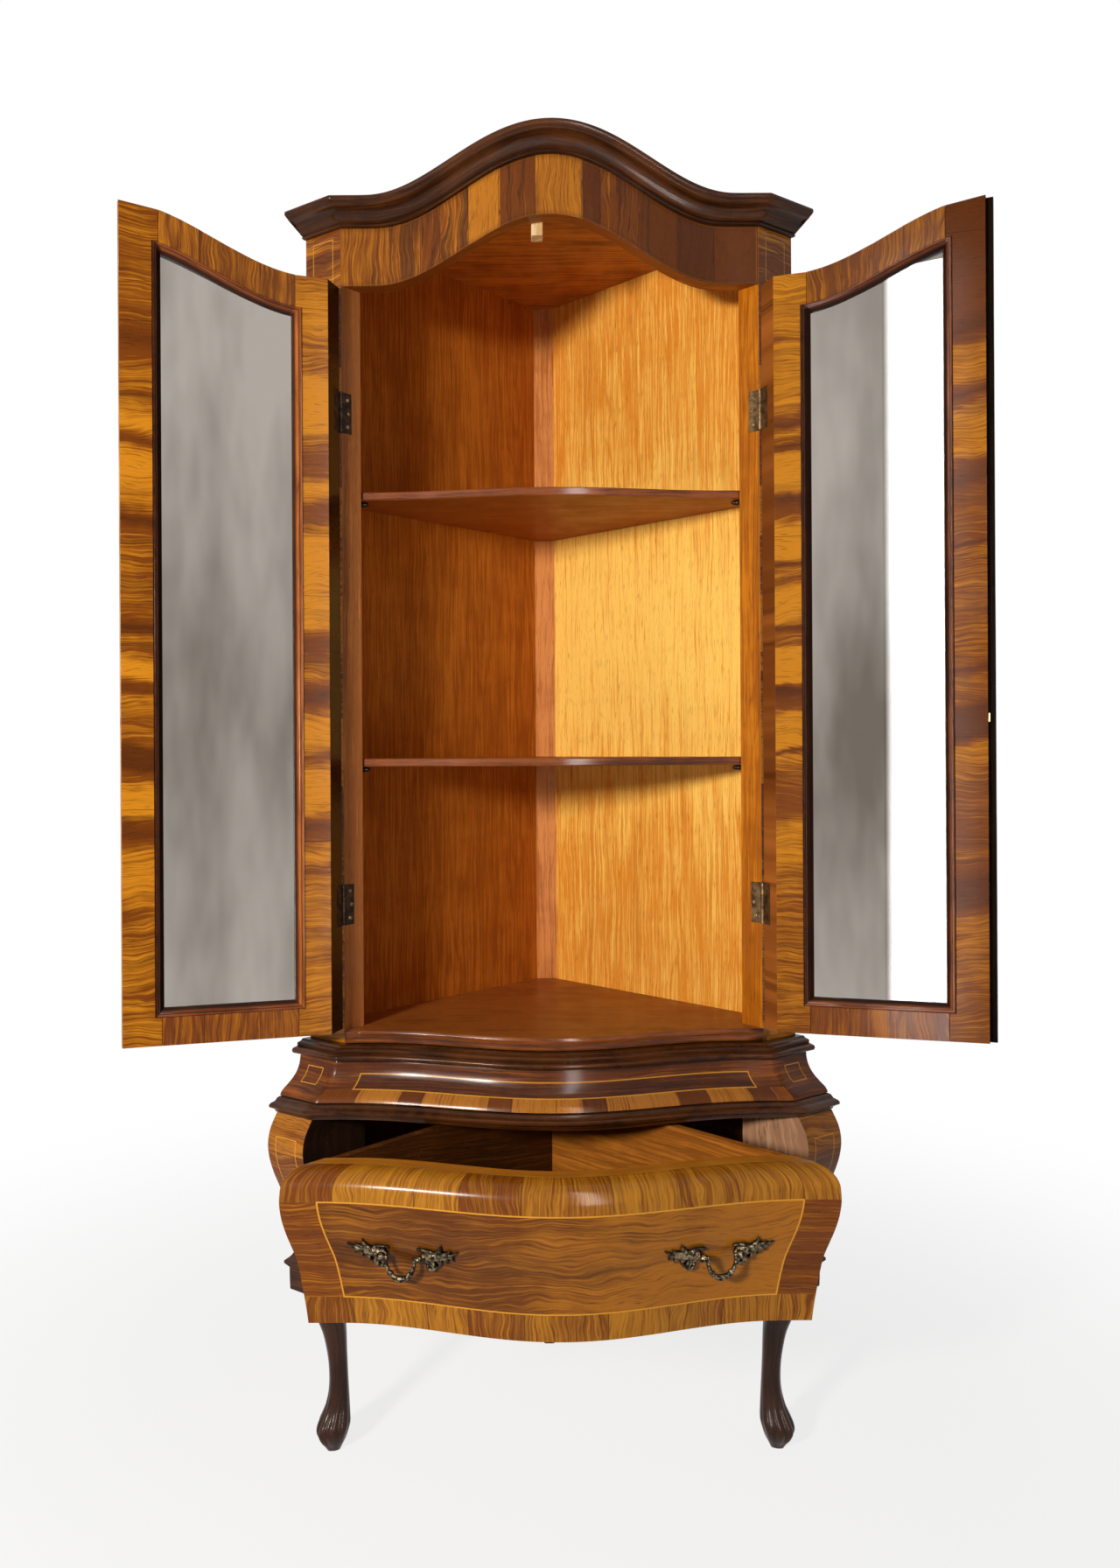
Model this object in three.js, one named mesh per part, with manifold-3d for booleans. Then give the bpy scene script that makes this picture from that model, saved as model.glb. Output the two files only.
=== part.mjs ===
// Corner curio cabinet with a serpentine front: a glazed display case with an arched cornice, over a
// swelling base with one drawer, on cabriole legs. Millimetres, +Z up, the front faces -Y.
// It stands as photographed: both doors swung open and the drawer drawn out.
import * as THREE from "three";
import { mergeVertices } from "three/addons/utils/BufferGeometryUtils.js";
import Module from "manifold-3d";

const wasm = await Module();
wasm.setup();

// Fits
const gap = 0.3; // between pieces that touch
const overrun = 2; // how far a cutter runs past what it cuts

// Plan of the case: a bowed front between two canted corners, and two walls square to each other behind
const halfFront = 312; // middle of the front to the front edge of a canted corner
const cantRun = 59; // canted face, across
const cantDepth = 41; // canted face, front to back
const bow = 54; // how far the middle of the front stands before its ends
const bowWidthShare = 0.88; // part of the front that the bow takes up
const backSum = halfFront + cantRun + cantDepth; // x + y on the outside of a back wall
const panelThickness = 8.5;
const wallSum = backSum - panelThickness * Math.SQRT2; // x + y on the inside of a back wall
const stileDepth = 25.5; // front edge of a canted stile, front to back
const rebate = 14; // step at the back of a canted stile that takes the back panel
const rearPostHalf = 18; // half the face of the post in the rear corner

// Heights, from the floor up
const legHeight = 245;
const apronHeight = 55;
const legTenon = 40; // how far a leg runs up behind the apron
const drawerSpace = 218;
const beltHeight = 23;
const waistHeight = 57;
const shoulderHeight = 22;
const floorThickness = 20;
const doorwayHeight = 1110;
const friezeHeight = 86;
const corniceHeight = 34;
const archRise = 82;
const archWidthShare = 0.83; // part of the front that the arch takes up

const drawerFloor = legHeight + apronHeight;
const legTop = legHeight + legTenon;
const beltBottom = drawerFloor + drawerSpace;
const waistBottom = beltBottom + beltHeight;
const shoulderBottom = waistBottom + waistHeight;
const caseFoot = shoulderBottom + shoulderHeight;
const displayFloor = caseFoot + floorThickness;
const friezeBottom = displayFloor + doorwayHeight;
const corniceBottom = friezeBottom + friezeHeight;
const corniceTop = corniceBottom + corniceHeight;

// Swell of the base, outwards from the plan, in shares of its height and of its greatest swell
const swell = 54;
const swellShares = [
  [0, 0.41], [0.1, 0.455], [0.22, 0.52], [0.33, 0.585], [0.42, 0.655], [0.51, 0.765],
  [0.6, 0.875], [0.7, 0.965], [0.8, 1], [0.9, 0.945], [1, 0.79],
];

// Mouldings: how far each stands out, and its section in shares of that and of its height
const corniceReach = 38;
const corniceShares = [
  [0.1, 0], [0.1, 0.1], [0.22, 0.16], [0.34, 0.26], [0.44, 0.4], [0.58, 0.54], [0.76, 0.62],
  [0.86, 0.66], [0.86, 0.74], [0.96, 0.8], [1, 0.88], [0.97, 0.97], [0.9, 1],
];
const shoulderReach = 33;
const shoulderShares = [
  [0.4, 0], [0.55, 0.06], [0.86, 0.14], [0.98, 0.3], [0.98, 0.44], [0.82, 0.54], [0.7, 0.6],
  [0.66, 0.76], [0.5, 0.84], [0.42, 1],
];
const waistReach = 38.5;
const waistShares = [
  [1, 0], [0.96, 0.1], [0.72, 0.27], [0.52, 0.45], [0.4, 0.62], [0.34, 0.8], [0.32, 1],
];
const beltReach = 52.5;
const beltShares = [
  [0.8, 0], [0.82, 0.14], [0.86, 0.2], [0.88, 0.34], [0.97, 0.4], [1, 0.54], [0.95, 0.68],
  [0.84, 0.78], [0.8, 0.9], [0.76, 1],
];
const apronReach = 35;
const apronShares = [
  [0.74, 0], [0.79, 0.36], [0.81, 0.74], [0.84, 0.76], [0.97, 0.8], [1, 0.86], [0.92, 0.91],
  [0.72, 0.95], [0.64, 1],
];
const sillReach = 8; // moulded front edge of the display floor
const sillShares = [[0.2, 0], [0.55, 0.12], [0.6, 0.5], [0.9, 0.6], [1, 0.8], [0.8, 1]];

// Inside the display case
const ceilingThickness = 9;
const ceilingDrop = 1; // top of the ceiling board below the top of the cornice
const shelfThickness = 12;
const shelfFront = 30; // front edge of a shelf behind the front of the case, at its ends
const shelfBow = 31;
const shelfTops = { upper: 1449, lower: 1044 };
const shelfLetIn = 4; // how far the rear edge of a shelf is let into the corner post
const shelfRear = wallSum - rearPostHalf + shelfLetIn;
const pegRadius = 4;
const pegLength = 24;
const pegDeep = 9; // end of the peg past the face of the stile
const pegInset = 9; // peg behind the front edge of the shelf
const blockWidth = 17;
const blockDepth = 23;
const blockHeight = 30;
const blockShow = 18; // how far the catch block hangs below the frieze
const blockAside = 19; // middle of the catch block from the middle of the case

// Doors
const doorThickness = 18.6; // at the meeting edge
const doorLean = Math.atan2(stileDepth + bow - doorThickness, halfFront - stileDepth); // of its flat back
const doorOpen = THREE.MathUtils.degToRad(153); // how far the doors stand open
const doorFoot = 2; // clearance under a door
const doorHead = 4; // clearance over a door
const doorSide = 1.6; // clearance at the hinge edge
const doorMeet = 0.8; // half the clearance between the two doors
const lipWidth = 9; // lip of the right door that laps the left one, sideways and front to back
const hingeStileWidth = 38;
const meetStileWidth = 44;
const bottomRailHeight = 40;
const topRailHeight = 46;
const glassLip = 9; // front edge of the frame that the glass lies against
const glassDepth = 11; // glass rebate, from the inner face
const glassThickness = 3;
const beadWidth = 13;
const beadProud = 2;

// Hinges
const hingeHeight = 60;
const hingeFromFloor = 186; // middle of the lower hinge above the display floor
const hingeFromFrieze = 188; // middle of the upper hinge below the frieze
const leafThickness = 1.4;
const leafWidth = 20;
const knuckleRadius = 3;
const hingePinRadius = 1.2;
const hingePinOut = 1.5; // hinge pin in front of the edges that it joins
const boreClearance = 0.15;

// Ring pull and lock on the right door
const pullHeight = 482; // middle of the rosette above the display floor
const pullAside = 22; // rosette from the meeting edge
const rosetteRadius = 7;
const rosetteThickness = 2.5;
const pullNeckRadius = 2.2;
const pullNeckLength = 7;
const ringOuter = 12;
const ringWire = 1.5;
const ringShares = [
  [-0.55, 0], [-0.85, -0.25], [-1, -0.9], [-0.8, -1.6], [0, -2.05], [0.8, -1.6], [1, -0.9],
  [0.85, -0.25], [0.55, 0],
];
const ringPinShare = 1.2;
const boltWidth = 12; // lock bolt, up and down
const boltThickness = 4;
const boltLength = 30;
const boltShown = 2; // how far the bolt stands out of the meeting edge
const boltThrow = 7; // free length behind the bolt, and the depth of its pocket
const boltDrop = 24; // middle of the bolt below the rosette

// Drawer
const drawerOut = 178; // how far the drawer stands out
const drawerSide = 1.6; // clearance beside the drawer front, along the front
const drawerLift = 0.6; // clearance under the drawer front
const drawerHead = 6.5; // clearance over the drawer front
const drawerBack = 2; // inner face of the drawer front, out from the plan
const drawerRimShare = 0.45; // flat top of the drawer front, out from the plan, as a share of the swell
const drawerRimDrop = 27; // height over which the top of the drawer front rolls over
const rollSteps = 4;
const sideInset = 6;
const sideSum = halfFront - sideInset; // x + y on the outside of a drawer side
const sideThickness = 12;
const drawerBottomThickness = 6;
const drawerBottomUp = 6.3; // underside of the drawer bottom above the floor of its space
const runnerWidth = 40;
const runnerEnd = wallSum - rearPostHalf - runnerWidth / 2;

// Drawer handles
const handleInset = 105; // middle of a handle in from the corner arris
const handleAside = halfFront - handleInset;
const handleUp = 104; // bail pivots above the floor of the drawer space
const leafPlate = 3;
const leafSpan = 48;
const leafRise = 26;
const leafShares = [
  [0, -0.42], [0.12, -0.62], [0.3, -0.6], [0.42, -0.32], [0.6, -0.16], [0.8, 0.02], [1, 0.38],
  [0.82, 0.44], [0.62, 0.4], [0.56, 0.62], [0.44, 0.42], [0.2, 0.36], [-0.08, 0.38], [-0.04, 0.16],
  [0.06, 0], [0.02, -0.2],
];
const bossRadius = 4.5;
const bossLength = 7;
const bossStand = 7; // bail pivot in front of the leaf plate
const neckHalf = 2; // half the height of the neck between a boss and its leaf
const neckShare = 0.7; // part of the leaf's thickness that the neck runs into
const bailHalf = 19;
const bailDrop = 27;
const bailWire = 2;
const bailShares = [
  [-1, 0], [-0.98, -0.35], [-0.72, -0.78], [-0.3, -0.97], [0, -1], [0.3, -0.97], [0.72, -0.78],
  [0.98, -0.35], [1, 0],
];
const gripRadius = 4;
const bailPin = 1.4;
const pinShoulder = bailWire + gap * 2; // from the middle of the bail wire to the boss beside it

// Legs
const kneeShares = {
  // height share, centre outwards, half along, half across, in shares of the knee's half width
  rows: [
    [0, -0.3, 0.5, 0.48], [0.04, -0.25, 0.76, 0.7], [0.1, -0.22, 0.92, 0.8], [0.17, -0.36, 0.88, 0.8],
    [0.25, -0.54, 0.66, 0.62], [0.34, -0.63, 0.54, 0.52], [0.45, -0.62, 0.49, 0.49],
    [0.57, -0.54, 0.52, 0.51], [0.71, -0.38, 0.62, 0.6], [0.83, -0.14, 0.78, 0.73],
    [0.93, 0.05, 0.92, 0.84], [0.996, 0.1, 1, 0.92], [0.999, -0.62, 0.5, 0.6], [1, -0.62, 0.5, 0.6],
  ],
};
const kneeHalf = 33;
const legSides = 16;
const rearLegTop = 44;
const rearLegFoot = 30;
const rearLegIn = 32; // back of the rear leg in front of the rear corner post
const rearLegBack = wallSum - rearPostHalf - rearLegIn;

// Colours by finish, with roughness and metalness
const finishes = {
  veneer: [0x9a6226, 0.35, 0],
  darkWood: [0x3b2418, 0.35, 0],
  panel: [0xb5732c, 0.6, 0],
  block: [0xd9b88a, 0.7, 0],
  bead: [0x4a1f12, 0.35, 0],
  glass: [0xdfe8ea, 0.05, 0],
  iron: [0x4c4436, 0.5, 0.9],
  bronze: [0x4a4130, 0.45, 0.9],
  brass: [0xb08a3c, 0.35, 0.9],
};

// Height share of a raised cosine at x, for a hump that takes up widthShare of the front
function hump(x, half, widthShare) {
  const along = Math.abs(x) / (half * widthShare);
  return along < 1 ? (1 + Math.cos(Math.PI * along)) / 2 : 0;
}

// Value of a table of [at, value] shares, read along straight lines
function tableAt(table, at) {
  const next = table.findIndex(([place]) => place >= at);
  if (next < 1) return table[next < 0 ? table.length - 1 : 0][1];
  const [[a, low], [b, high]] = [table[next - 1], table[next]];
  return low + ((high - low) * (at - a)) / (b - a);
}

const frontAt = (x) => -bow * hump(x, halfFront, bowWidthShare);
const innerReach = halfFront - stileDepth - gap;
const innerFrontAt = (x) => frontAt((x * halfFront) / innerReach) + stileDepth;
const archAt = (x) => hump(x, halfFront, archWidthShare);
const swellAt = (z) => swell * tableAt(swellShares, (z - drawerFloor) / drawerSpace);
const doorInnerAt = (x) => stileDepth - (halfFront - stileDepth - x) * Math.tan(doorLean);
const friezeEdgeAt = (x) => friezeBottom + archRise * archAt(x);

// Turns each triangle the other way where a shape came out with its faces inwards
function facingOut(geometry) {
  const at = geometry.getAttribute("position");
  const [a, b, c] = [new THREE.Vector3(), new THREE.Vector3(), new THREE.Vector3()];
  let volume = 0;
  for (let i = 0; i < at.count; i += 3) {
    a.fromBufferAttribute(at, i);
    b.fromBufferAttribute(at, i + 1);
    c.fromBufferAttribute(at, i + 2);
    volume += a.dot(b.cross(c));
  }
  if (volume > 0) return geometry;
  for (let i = 0; i < at.count; i += 3) {
    b.fromBufferAttribute(at, i + 1);
    c.fromBufferAttribute(at, i + 2);
    at.setXYZ(i + 1, c.x, c.y, c.z);
    at.setXYZ(i + 2, b.x, b.y, b.z);
  }
  return geometry;
}

// A closed solid: an outline of [a, b] points carried from t = 0 to 1, each corner set by place(a, b, t)
function carried(outline, steps, place) {
  const shape = new THREE.Shape(outline.map(([a, b]) => new THREE.Vector2(a, b)));
  const made = new THREE.ExtrudeGeometry(shape, { depth: 1, steps, bevelEnabled: false });
  const at = made.getAttribute("position");
  for (let i = 0; i < at.count; i++) {
    at.setXYZ(i, ...place(at.getX(i), at.getY(i), at.getZ(i)));
  }
  return facingOut(made);
}

// A board of the given plan outline between two heights
function board(outline, bottom, top) {
  return carried(outline, 1, (x, y, t) => [x, y, bottom + (top - bottom) * t]);
}

// A box by its lowest and highest corners
function box(low, high) {
  const size = high.map((value, i) => value - low[i]);
  const middle = high.map((value, i) => (value + low[i]) / 2);
  return new THREE.BoxGeometry(...size).translate(...middle);
}

function solidOf(geometry) {
  const bare = geometry.index ? geometry.toNonIndexed() : geometry.clone();
  bare.deleteAttribute("normal");
  bare.deleteAttribute("uv");
  const merged = mergeVertices(bare);
  const vertProperties = merged.getAttribute("position").array;
  const triVerts = new Uint32Array(merged.index.array);
  return new wasm.Manifold(new wasm.Mesh({ numProp: 3, vertProperties, triVerts }));
}

function geometryOf(solid) {
  const mesh = solid.getMesh();
  const position = new THREE.BufferAttribute(mesh.vertProperties, mesh.numProp);
  const made = new THREE.BufferGeometry().setAttribute("position", position);
  made.setIndex(new THREE.BufferAttribute(mesh.triVerts, 1));
  const flat = made.toNonIndexed();
  flat.computeVertexNormals();
  return flat;
}

// The first shape with the added ones joined to it, and the cut ones taken away
function shaped(base, { add = [], cut = [] }) {
  let solid = solidOf(base);
  for (const piece of add) solid = solid.add(solidOf(piece));
  for (const piece of cut) solid = solid.subtract(solidOf(piece));
  return geometryOf(solid);
}

// The same shape, or its mirror image on the left side
function handed(geometry, hand) {
  if (hand > 0) return geometry;
  const loose = geometry.index ? geometry.toNonIndexed() : geometry.clone();
  return facingOut(loose.scale(-1, 1, 1));
}

const mirrored = (outline) => outline.map(([x, y]) => [-x, y]).reverse();

// Points [x, y] along the bowed front, out from the plan, from one x to another
function frontPoints(from, to, steps, out = 0) {
  return Array.from({ length: steps + 1 }, (_, i) => {
    const x = from + ((to - from) * i) / steps;
    return [x, frontAt(x) - out];
  });
}

const cabinet = new THREE.Group();
const body = new THREE.Group();
cabinet.add(body);

function piece(name, geometry, finish, parent = body) {
  const [color, roughness, metalness] = finishes[finish];
  const mesh = new THREE.Mesh(geometry, new THREE.MeshStandardMaterial({ color, roughness, metalness }));
  mesh.name = name;
  parent.add(mesh);
  return mesh;
}

// A moulding carried round the canted corners and the front. Each section point is [out, up].
// spread is how far a corner moves along the front for each millimetre out, tipSpread at the back wall
const frontSteps = 24;
function wrapped(section, spread, tipSpread, lift = () => [0, 1]) {
  const stations = [
    { x: -halfFront - cantRun, y: cantDepth, side: -tipSpread, out: -tipSpread, at: -halfFront },
    ...Array.from({ length: frontSteps + 1 }, (_, i) => {
      const x = halfFront * ((2 * i) / frontSteps - 1);
      return { x, y: frontAt(x), side: (spread * x) / halfFront, out: -1, at: x };
    }),
    { x: halfFront + cantRun, y: cantDepth, side: tipSpread, out: -tipSpread, at: halfFront },
  ];
  return carried(section, stations.length - 1, (out, up, t) => {
    const station = stations[Math.round(t * (stations.length - 1))];
    const [base, stretch] = lift(station.at);
    return [station.x + out * station.side, station.y + out * station.out, base + up * stretch];
  });
}

// Section points of a moulding between two heights, closed along its back
function section(shares, reach, bottom, top, back = gap) {
  const low = bottom + gap / 2;
  const high = top - gap / 2;
  const face = shares.map(([out, up]) => [out * reach, low + up * (high - low)]);
  return [[back, low], ...face, [back, high]];
}

// How a mitred moulding spreads at a corner, and where it meets the plane of the back wall
const cantAngle = Math.atan2(cantDepth, cantRun);
const mitreSpread = Math.tan(cantAngle / 2);
const mitreTip = 1 / (Math.sin(cantAngle) + Math.cos(cantAngle));

function displayCase() {
  const stileFoot = beltBottom + gap / 2;
  const stileHead = corniceTop - ceilingDrop;
  const back = [backSum - gap, wallSum - gap];
  const stilePlan = [
    [halfFront, 0],
    [halfFront + cantRun, cantDepth],
    [halfFront + cantRun - rebate, cantDepth + rebate],
    [halfFront + cantRun - rebate - (back[0] - back[1]) / 2, cantDepth + rebate - (back[0] - back[1]) / 2],
    innerCorner(),
    [halfFront - stileDepth, stileDepth],
  ];
  for (const [side, hand] of [["left", -1], ["right", 1]]) {
    const pegHoles = Object.values(shelfTops).map((top) => lyingPeg(pegRadius + gap, pegLength, top));
    const cuts = [...hingeHeights().map(hingeCut), ...pegHoles];
    const stile = shaped(board(stilePlan, stileFoot, stileHead), { cut: cuts });
    piece(`stile_${side}`, handed(stile, hand), "veneer");
    piece(`back_panel_${side}`, handed(backPanel(), hand), "panel");
  }
  piece("rear_corner_post", rearPost(), "panel");
  piece("display_floor", displayFloorBoard(), "veneer");
  piece("ceiling_board", board(insideOutline(gap), stileHead - ceilingThickness, stileHead), "panel");
  piece("frieze", friezeBoard(stileHead), "veneer");
  const slope = (x) => (archAt(x + gap) - archAt(x - gap)) * (archRise / (2 * gap));
  const lift = (x) => [corniceBottom + archRise * archAt(x), Math.hypot(1, slope(x))];
  const profile = section(corniceShares, corniceReach, 0, corniceHeight);
  piece("cornice", wrapped(profile, mitreSpread, mitreTip, lift), "darkWood");
}

// Where the inner face of a canted stile meets the back wall
function innerCorner() {
  const along = (wallSum - halfFront) / (cantRun + cantDepth);
  return [
    halfFront - stileDepth + along * cantRun - gap / 2,
    stileDepth + along * cantDepth - gap / 2,
  ];
}

// Inside of the case in plan, clear of the walls and of the back of the frieze
function insideOutline(clear) {
  const [cornerX, cornerY] = innerCorner();
  const wall = wallSum - clear * Math.SQRT2;
  const rear = wallSum - rearPostHalf - clear;
  const edge = halfFront - clear * Math.SQRT2;
  const shift = clear * 2;
  const right = [
    [edge - stileDepth - clear, stileDepth + clear],
    [cornerX - shift, wall - cornerX + shift],
    [wall - rear, rear],
  ];
  const reach = edge - stileDepth - clear;
  const front = frontPoints(-reach, reach, frontSteps).map(([x]) => [x, innerFrontAt(x) + clear * 2]);
  return [...front, ...right, ...mirrored(right)];
}

function backPanel() {
  const front = cantDepth + rebate + gap;
  const outline = [
    [backSum - front, front],
    [gap / 2, backSum - gap / 2],
    [gap / 2, wallSum - gap / 2],
    [wallSum - front, front],
  ];
  return board(outline, legHeight, corniceTop - ceilingDrop);
}

function rearPost() {
  const face = wallSum - rearPostHalf;
  const outline = [
    [-rearPostHalf + gap, face],
    [rearPostHalf - gap, face],
    [gap / 2, wallSum - gap * 1.5],
    [-gap / 2, wallSum - gap * 1.5],
  ];
  const stand = board(outline, drawerFloor + gap, corniceTop - ceilingDrop - ceilingThickness - gap);
  const notch = (top) =>
    box(
      [-rearPostHalf - overrun, face - overrun, top - shelfThickness - gap],
      [rearPostHalf + overrun, shelfRear + gap, top + gap],
    );
  const floorNotch = box(
    [-rearPostHalf - overrun, face - overrun, caseFoot - gap],
    [rearPostHalf + overrun, shelfRear + gap, displayFloor + gap],
  );
  return shaped(stand, { cut: [...Object.values(shelfTops).map(notch), floorNotch] });
}

// The floor of the display case, with its moulded front edge between the stiles
function displayFloorBoard() {
  const plain = board(letIn(insideOutline(gap)), caseFoot + gap / 2, displayFloor);
  const reach = halfFront - gap * Math.SQRT2;
  const face = section(sillShares, sillReach, caseFoot, displayFloor + gap / 2, -stileDepth - gap * 2);
  const edge = carried(face, frontSteps, (out, up, t) => {
    const share = 2 * t - 1;
    const x = share * (reach + Math.min(out, 0));
    return [x, frontAt(share * halfFront) - out, up];
  });
  return shaped(plain, { add: [edge] });
}

// The same outline with its rear edge let into the corner post
function letIn(outline) {
  const rear = Math.max(...outline.map(([, y]) => y));
  return outline.map(([x, y]) => {
    if (y < rear) return [x, y];
    return [Math.sign(x) * (Math.abs(x) - (shelfRear - rear)), shelfRear];
  });
}

function friezeBoard(top) {
  const outline = [[0, 0], [stileDepth, 0], [stileDepth, 1], [0, 1]];
  return carried(outline, frontSteps * 2, (depth, up, t) => {
    const share = 2 * t - 1;
    const x = share * (halfFront - gap - depth);
    const low = friezeEdgeAt(x);
    const high = top + archRise * archAt(x);
    return [x, frontAt(share * halfFront) + depth, low + up * (high - low)];
  });
}

function shelves() {
  for (const [level, top] of Object.entries(shelfTops)) {
    const reach = halfFront - stileDepth;
    const arris = frontPoints(-reach, reach, frontSteps / 2);
    const front = arris.map(([x, y]) => [x, shelfFront + (y * shelfBow) / bow]);
    const outline = letIn([...front, ...insideOutline(gap).slice(frontSteps + 2, -1)]);
    piece(`shelf_${level}`, board(outline, top - shelfThickness, top), "veneer");
    for (const [side, hand] of [["left", -1], ["right", 1]]) {
      const peg = lyingPeg(pegRadius, pegLength, top);
      piece(`peg_${level}_${side}`, handed(peg, hand), "darkWood");
    }
  }
}

// A shelf peg lies across the case, its outer end in a hole in the stile
function lyingPeg(radius, length, shelfTop) {
  const y = shelfFront + pegInset + pegRadius;
  const stileFace = halfFront - stileDepth + ((y - stileDepth) * cantRun) / cantDepth;
  const end = stileFace + pegDeep + radius - pegRadius;
  const peg = new THREE.CylinderGeometry(radius, radius, length, legSides / 2).rotateZ(Math.PI / 2);
  return peg.translate(end - length / 2, y, shelfTop - shelfThickness - gap - pegRadius);
}

function catchBlock() {
  const front = innerFrontAt(blockAside + blockWidth / 2) + gap;
  const bottom = friezeEdgeAt(blockAside) - blockShow;
  const low = [-blockAside - blockWidth / 2, front, bottom];
  const high = [-blockAside + blockWidth / 2, front + blockDepth, bottom + blockHeight];
  piece("catch_block", box(low, high), "block");
}

// The mouldings and veneered bands of the base, round the front and the canted corners
function baseBands() {
  const shoulder = section(shoulderShares, shoulderReach, shoulderBottom, caseFoot);
  piece("shoulder_moulding", wrapped(shoulder, mitreSpread, mitreTip), "darkWood");
  const waist = section(waistShares, waistReach, waistBottom, shoulderBottom);
  piece("waist", wrapped(waist, 1, 1), "veneer");
  const belt = section(beltShares, beltReach, beltBottom, waistBottom);
  piece("belt_moulding", wrapped(belt, 1, 1), "darkWood");
  const apron = section(apronShares, apronReach, legHeight, drawerFloor);
  piece("apron", wrapped(apron, 1, 1), "darkWood");
}

// The canted corners of the base, which swell out and in with the drawer front
function cornerPosts() {
  const steps = swellShares.length - 1;
  const low = drawerFloor + gap / 2;
  const high = beltBottom - gap / 2;
  const backStep = (backSum - wallSum) / 2;
  const outline = [
    [halfFront, 0],
    [halfFront + cantRun, cantDepth],
    [halfFront + cantRun - rebate, cantDepth + rebate],
    [halfFront + cantRun - rebate - backStep, cantDepth + rebate - backStep],
    innerCorner(),
    [halfFront - stileDepth, stileDepth],
  ];
  const isOuter = (x, y) => y < cantDepth + gap && x > halfFront - gap;
  const post = carried(outline, steps, (x, y, t) => {
    const z = low + (high - low) * tableAt(swellShares.map(([at], i) => [i / steps, at]), t);
    const out = isOuter(x, y) ? swellAt(z) : 0;
    return [x + out, y - out, z];
  });
  for (const [side, hand] of [["left", -1], ["right", 1]]) {
    piece(`corner_post_${side}`, handed(post, hand), "veneer");
  }
}

function baseInside() {
  const edge = gap * Math.SQRT2;
  const rear = wallSum - rearPostHalf - gap;
  const right = [
    [halfFront, gap],
    [halfFront + cantRun - edge, cantDepth],
    [wallSum - edge - cantDepth, cantDepth],
    [wallSum - edge - rear, rear],
  ].filter(([x, y]) => x + y < wallSum);
  const front = frontPoints(-halfFront, halfFront, frontSteps).map(([x, y]) => [x, y + gap]);
  const outline = [...front, ...right.slice(1), ...mirrored(right.slice(1))];
  piece("base_bottom", board(outline, legTop + gap, drawerFloor - gap / 2), "panel");
  const low = [-runnerWidth / 2, stileDepth, drawerFloor];
  const high = [runnerWidth / 2, runnerEnd, drawerFloor + drawerBottomUp - gap];
  piece("drawer_runner", box(low, high), "panel");
}

function legs() {
  const { rows } = kneeShares;
  const ring = Array.from({ length: legSides }, (_, i) => {
    const turn = (2 * Math.PI * i) / legSides;
    return [Math.cos(turn), Math.sin(turn)];
  });
  const leg = carried(ring, rows.length - 1, (a, b, t) => {
    const [up, out, along, across] = rows[Math.round(t * (rows.length - 1))];
    const z = t === 1 ? legTop : up * legHeight;
    return [b * across * kneeHalf, -(out + a * along) * kneeHalf, z];
  });
  for (const [side, hand] of [["left", -1], ["right", 1]]) {
    const holder = new THREE.Group();
    holder.position.set(hand * (halfFront + cantRun / 2), cantDepth / 2, 0);
    holder.rotation.z = hand * cantAngle;
    body.add(holder);
    piece(`front_leg_${side}`, leg.clone(), "darkWood", holder);
  }
  const square = [[-1, -1], [1, -1], [1, 1], [-1, 1]];
  const rearLeg = carried(square, 1, (a, b, t) => {
    const half = (rearLegFoot + (rearLegTop - rearLegFoot) * t) / 2;
    return [a * half, rearLegBack - rearLegTop / 2 + b * half, legTop * t];
  });
  piece("rear_leg", rearLeg, "darkWood");
}

// Hinges stand in the joint between a canted stile and its door, their pin just in front of it
const pinX = halfFront - (doorSide / 2) * Math.SQRT1_2 + hingePinOut * Math.SQRT1_2;
const pinY = -(doorSide / 2) * Math.SQRT1_2 - hingePinOut * Math.SQRT1_2;

function hingeHeights() {
  return [displayFloor + hingeFromFloor, friezeBottom - hingeFromFrieze];
}

// A plate along the joint: from and to are distances across it, measured from its middle towards the door
function jointPlate(from, to, start, end, bottom, top) {
  const u = Math.SQRT1_2;
  const corner = (along, across) => [
    pinX - u * along - u * across,
    pinY + u * along - u * across,
  ];
  const outline = [corner(start, from), corner(end, from), corner(end, to), corner(start, to)];
  return board(outline, bottom, top);
}

function upright(radius, bottom, top, sides = legSides) {
  const made = new THREE.CylinderGeometry(radius, radius, top - bottom, sides).rotateX(Math.PI / 2);
  return made.translate(pinX, pinY, (top + bottom) / 2);
}

// What a hinge takes out of the wood on either side of the joint
function hingeCut(z) {
  const low = z - hingeHeight / 2 - gap;
  const high = z + hingeHeight / 2 + gap;
  const deep = doorSide / 2 + leafThickness + gap;
  const plate = jointPlate(-deep, deep, -overrun, leafWidth + gap, low, high);
  return shaped(plate, { add: [upright(knuckleRadius + gap * 2, low, high)] });
}

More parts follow.
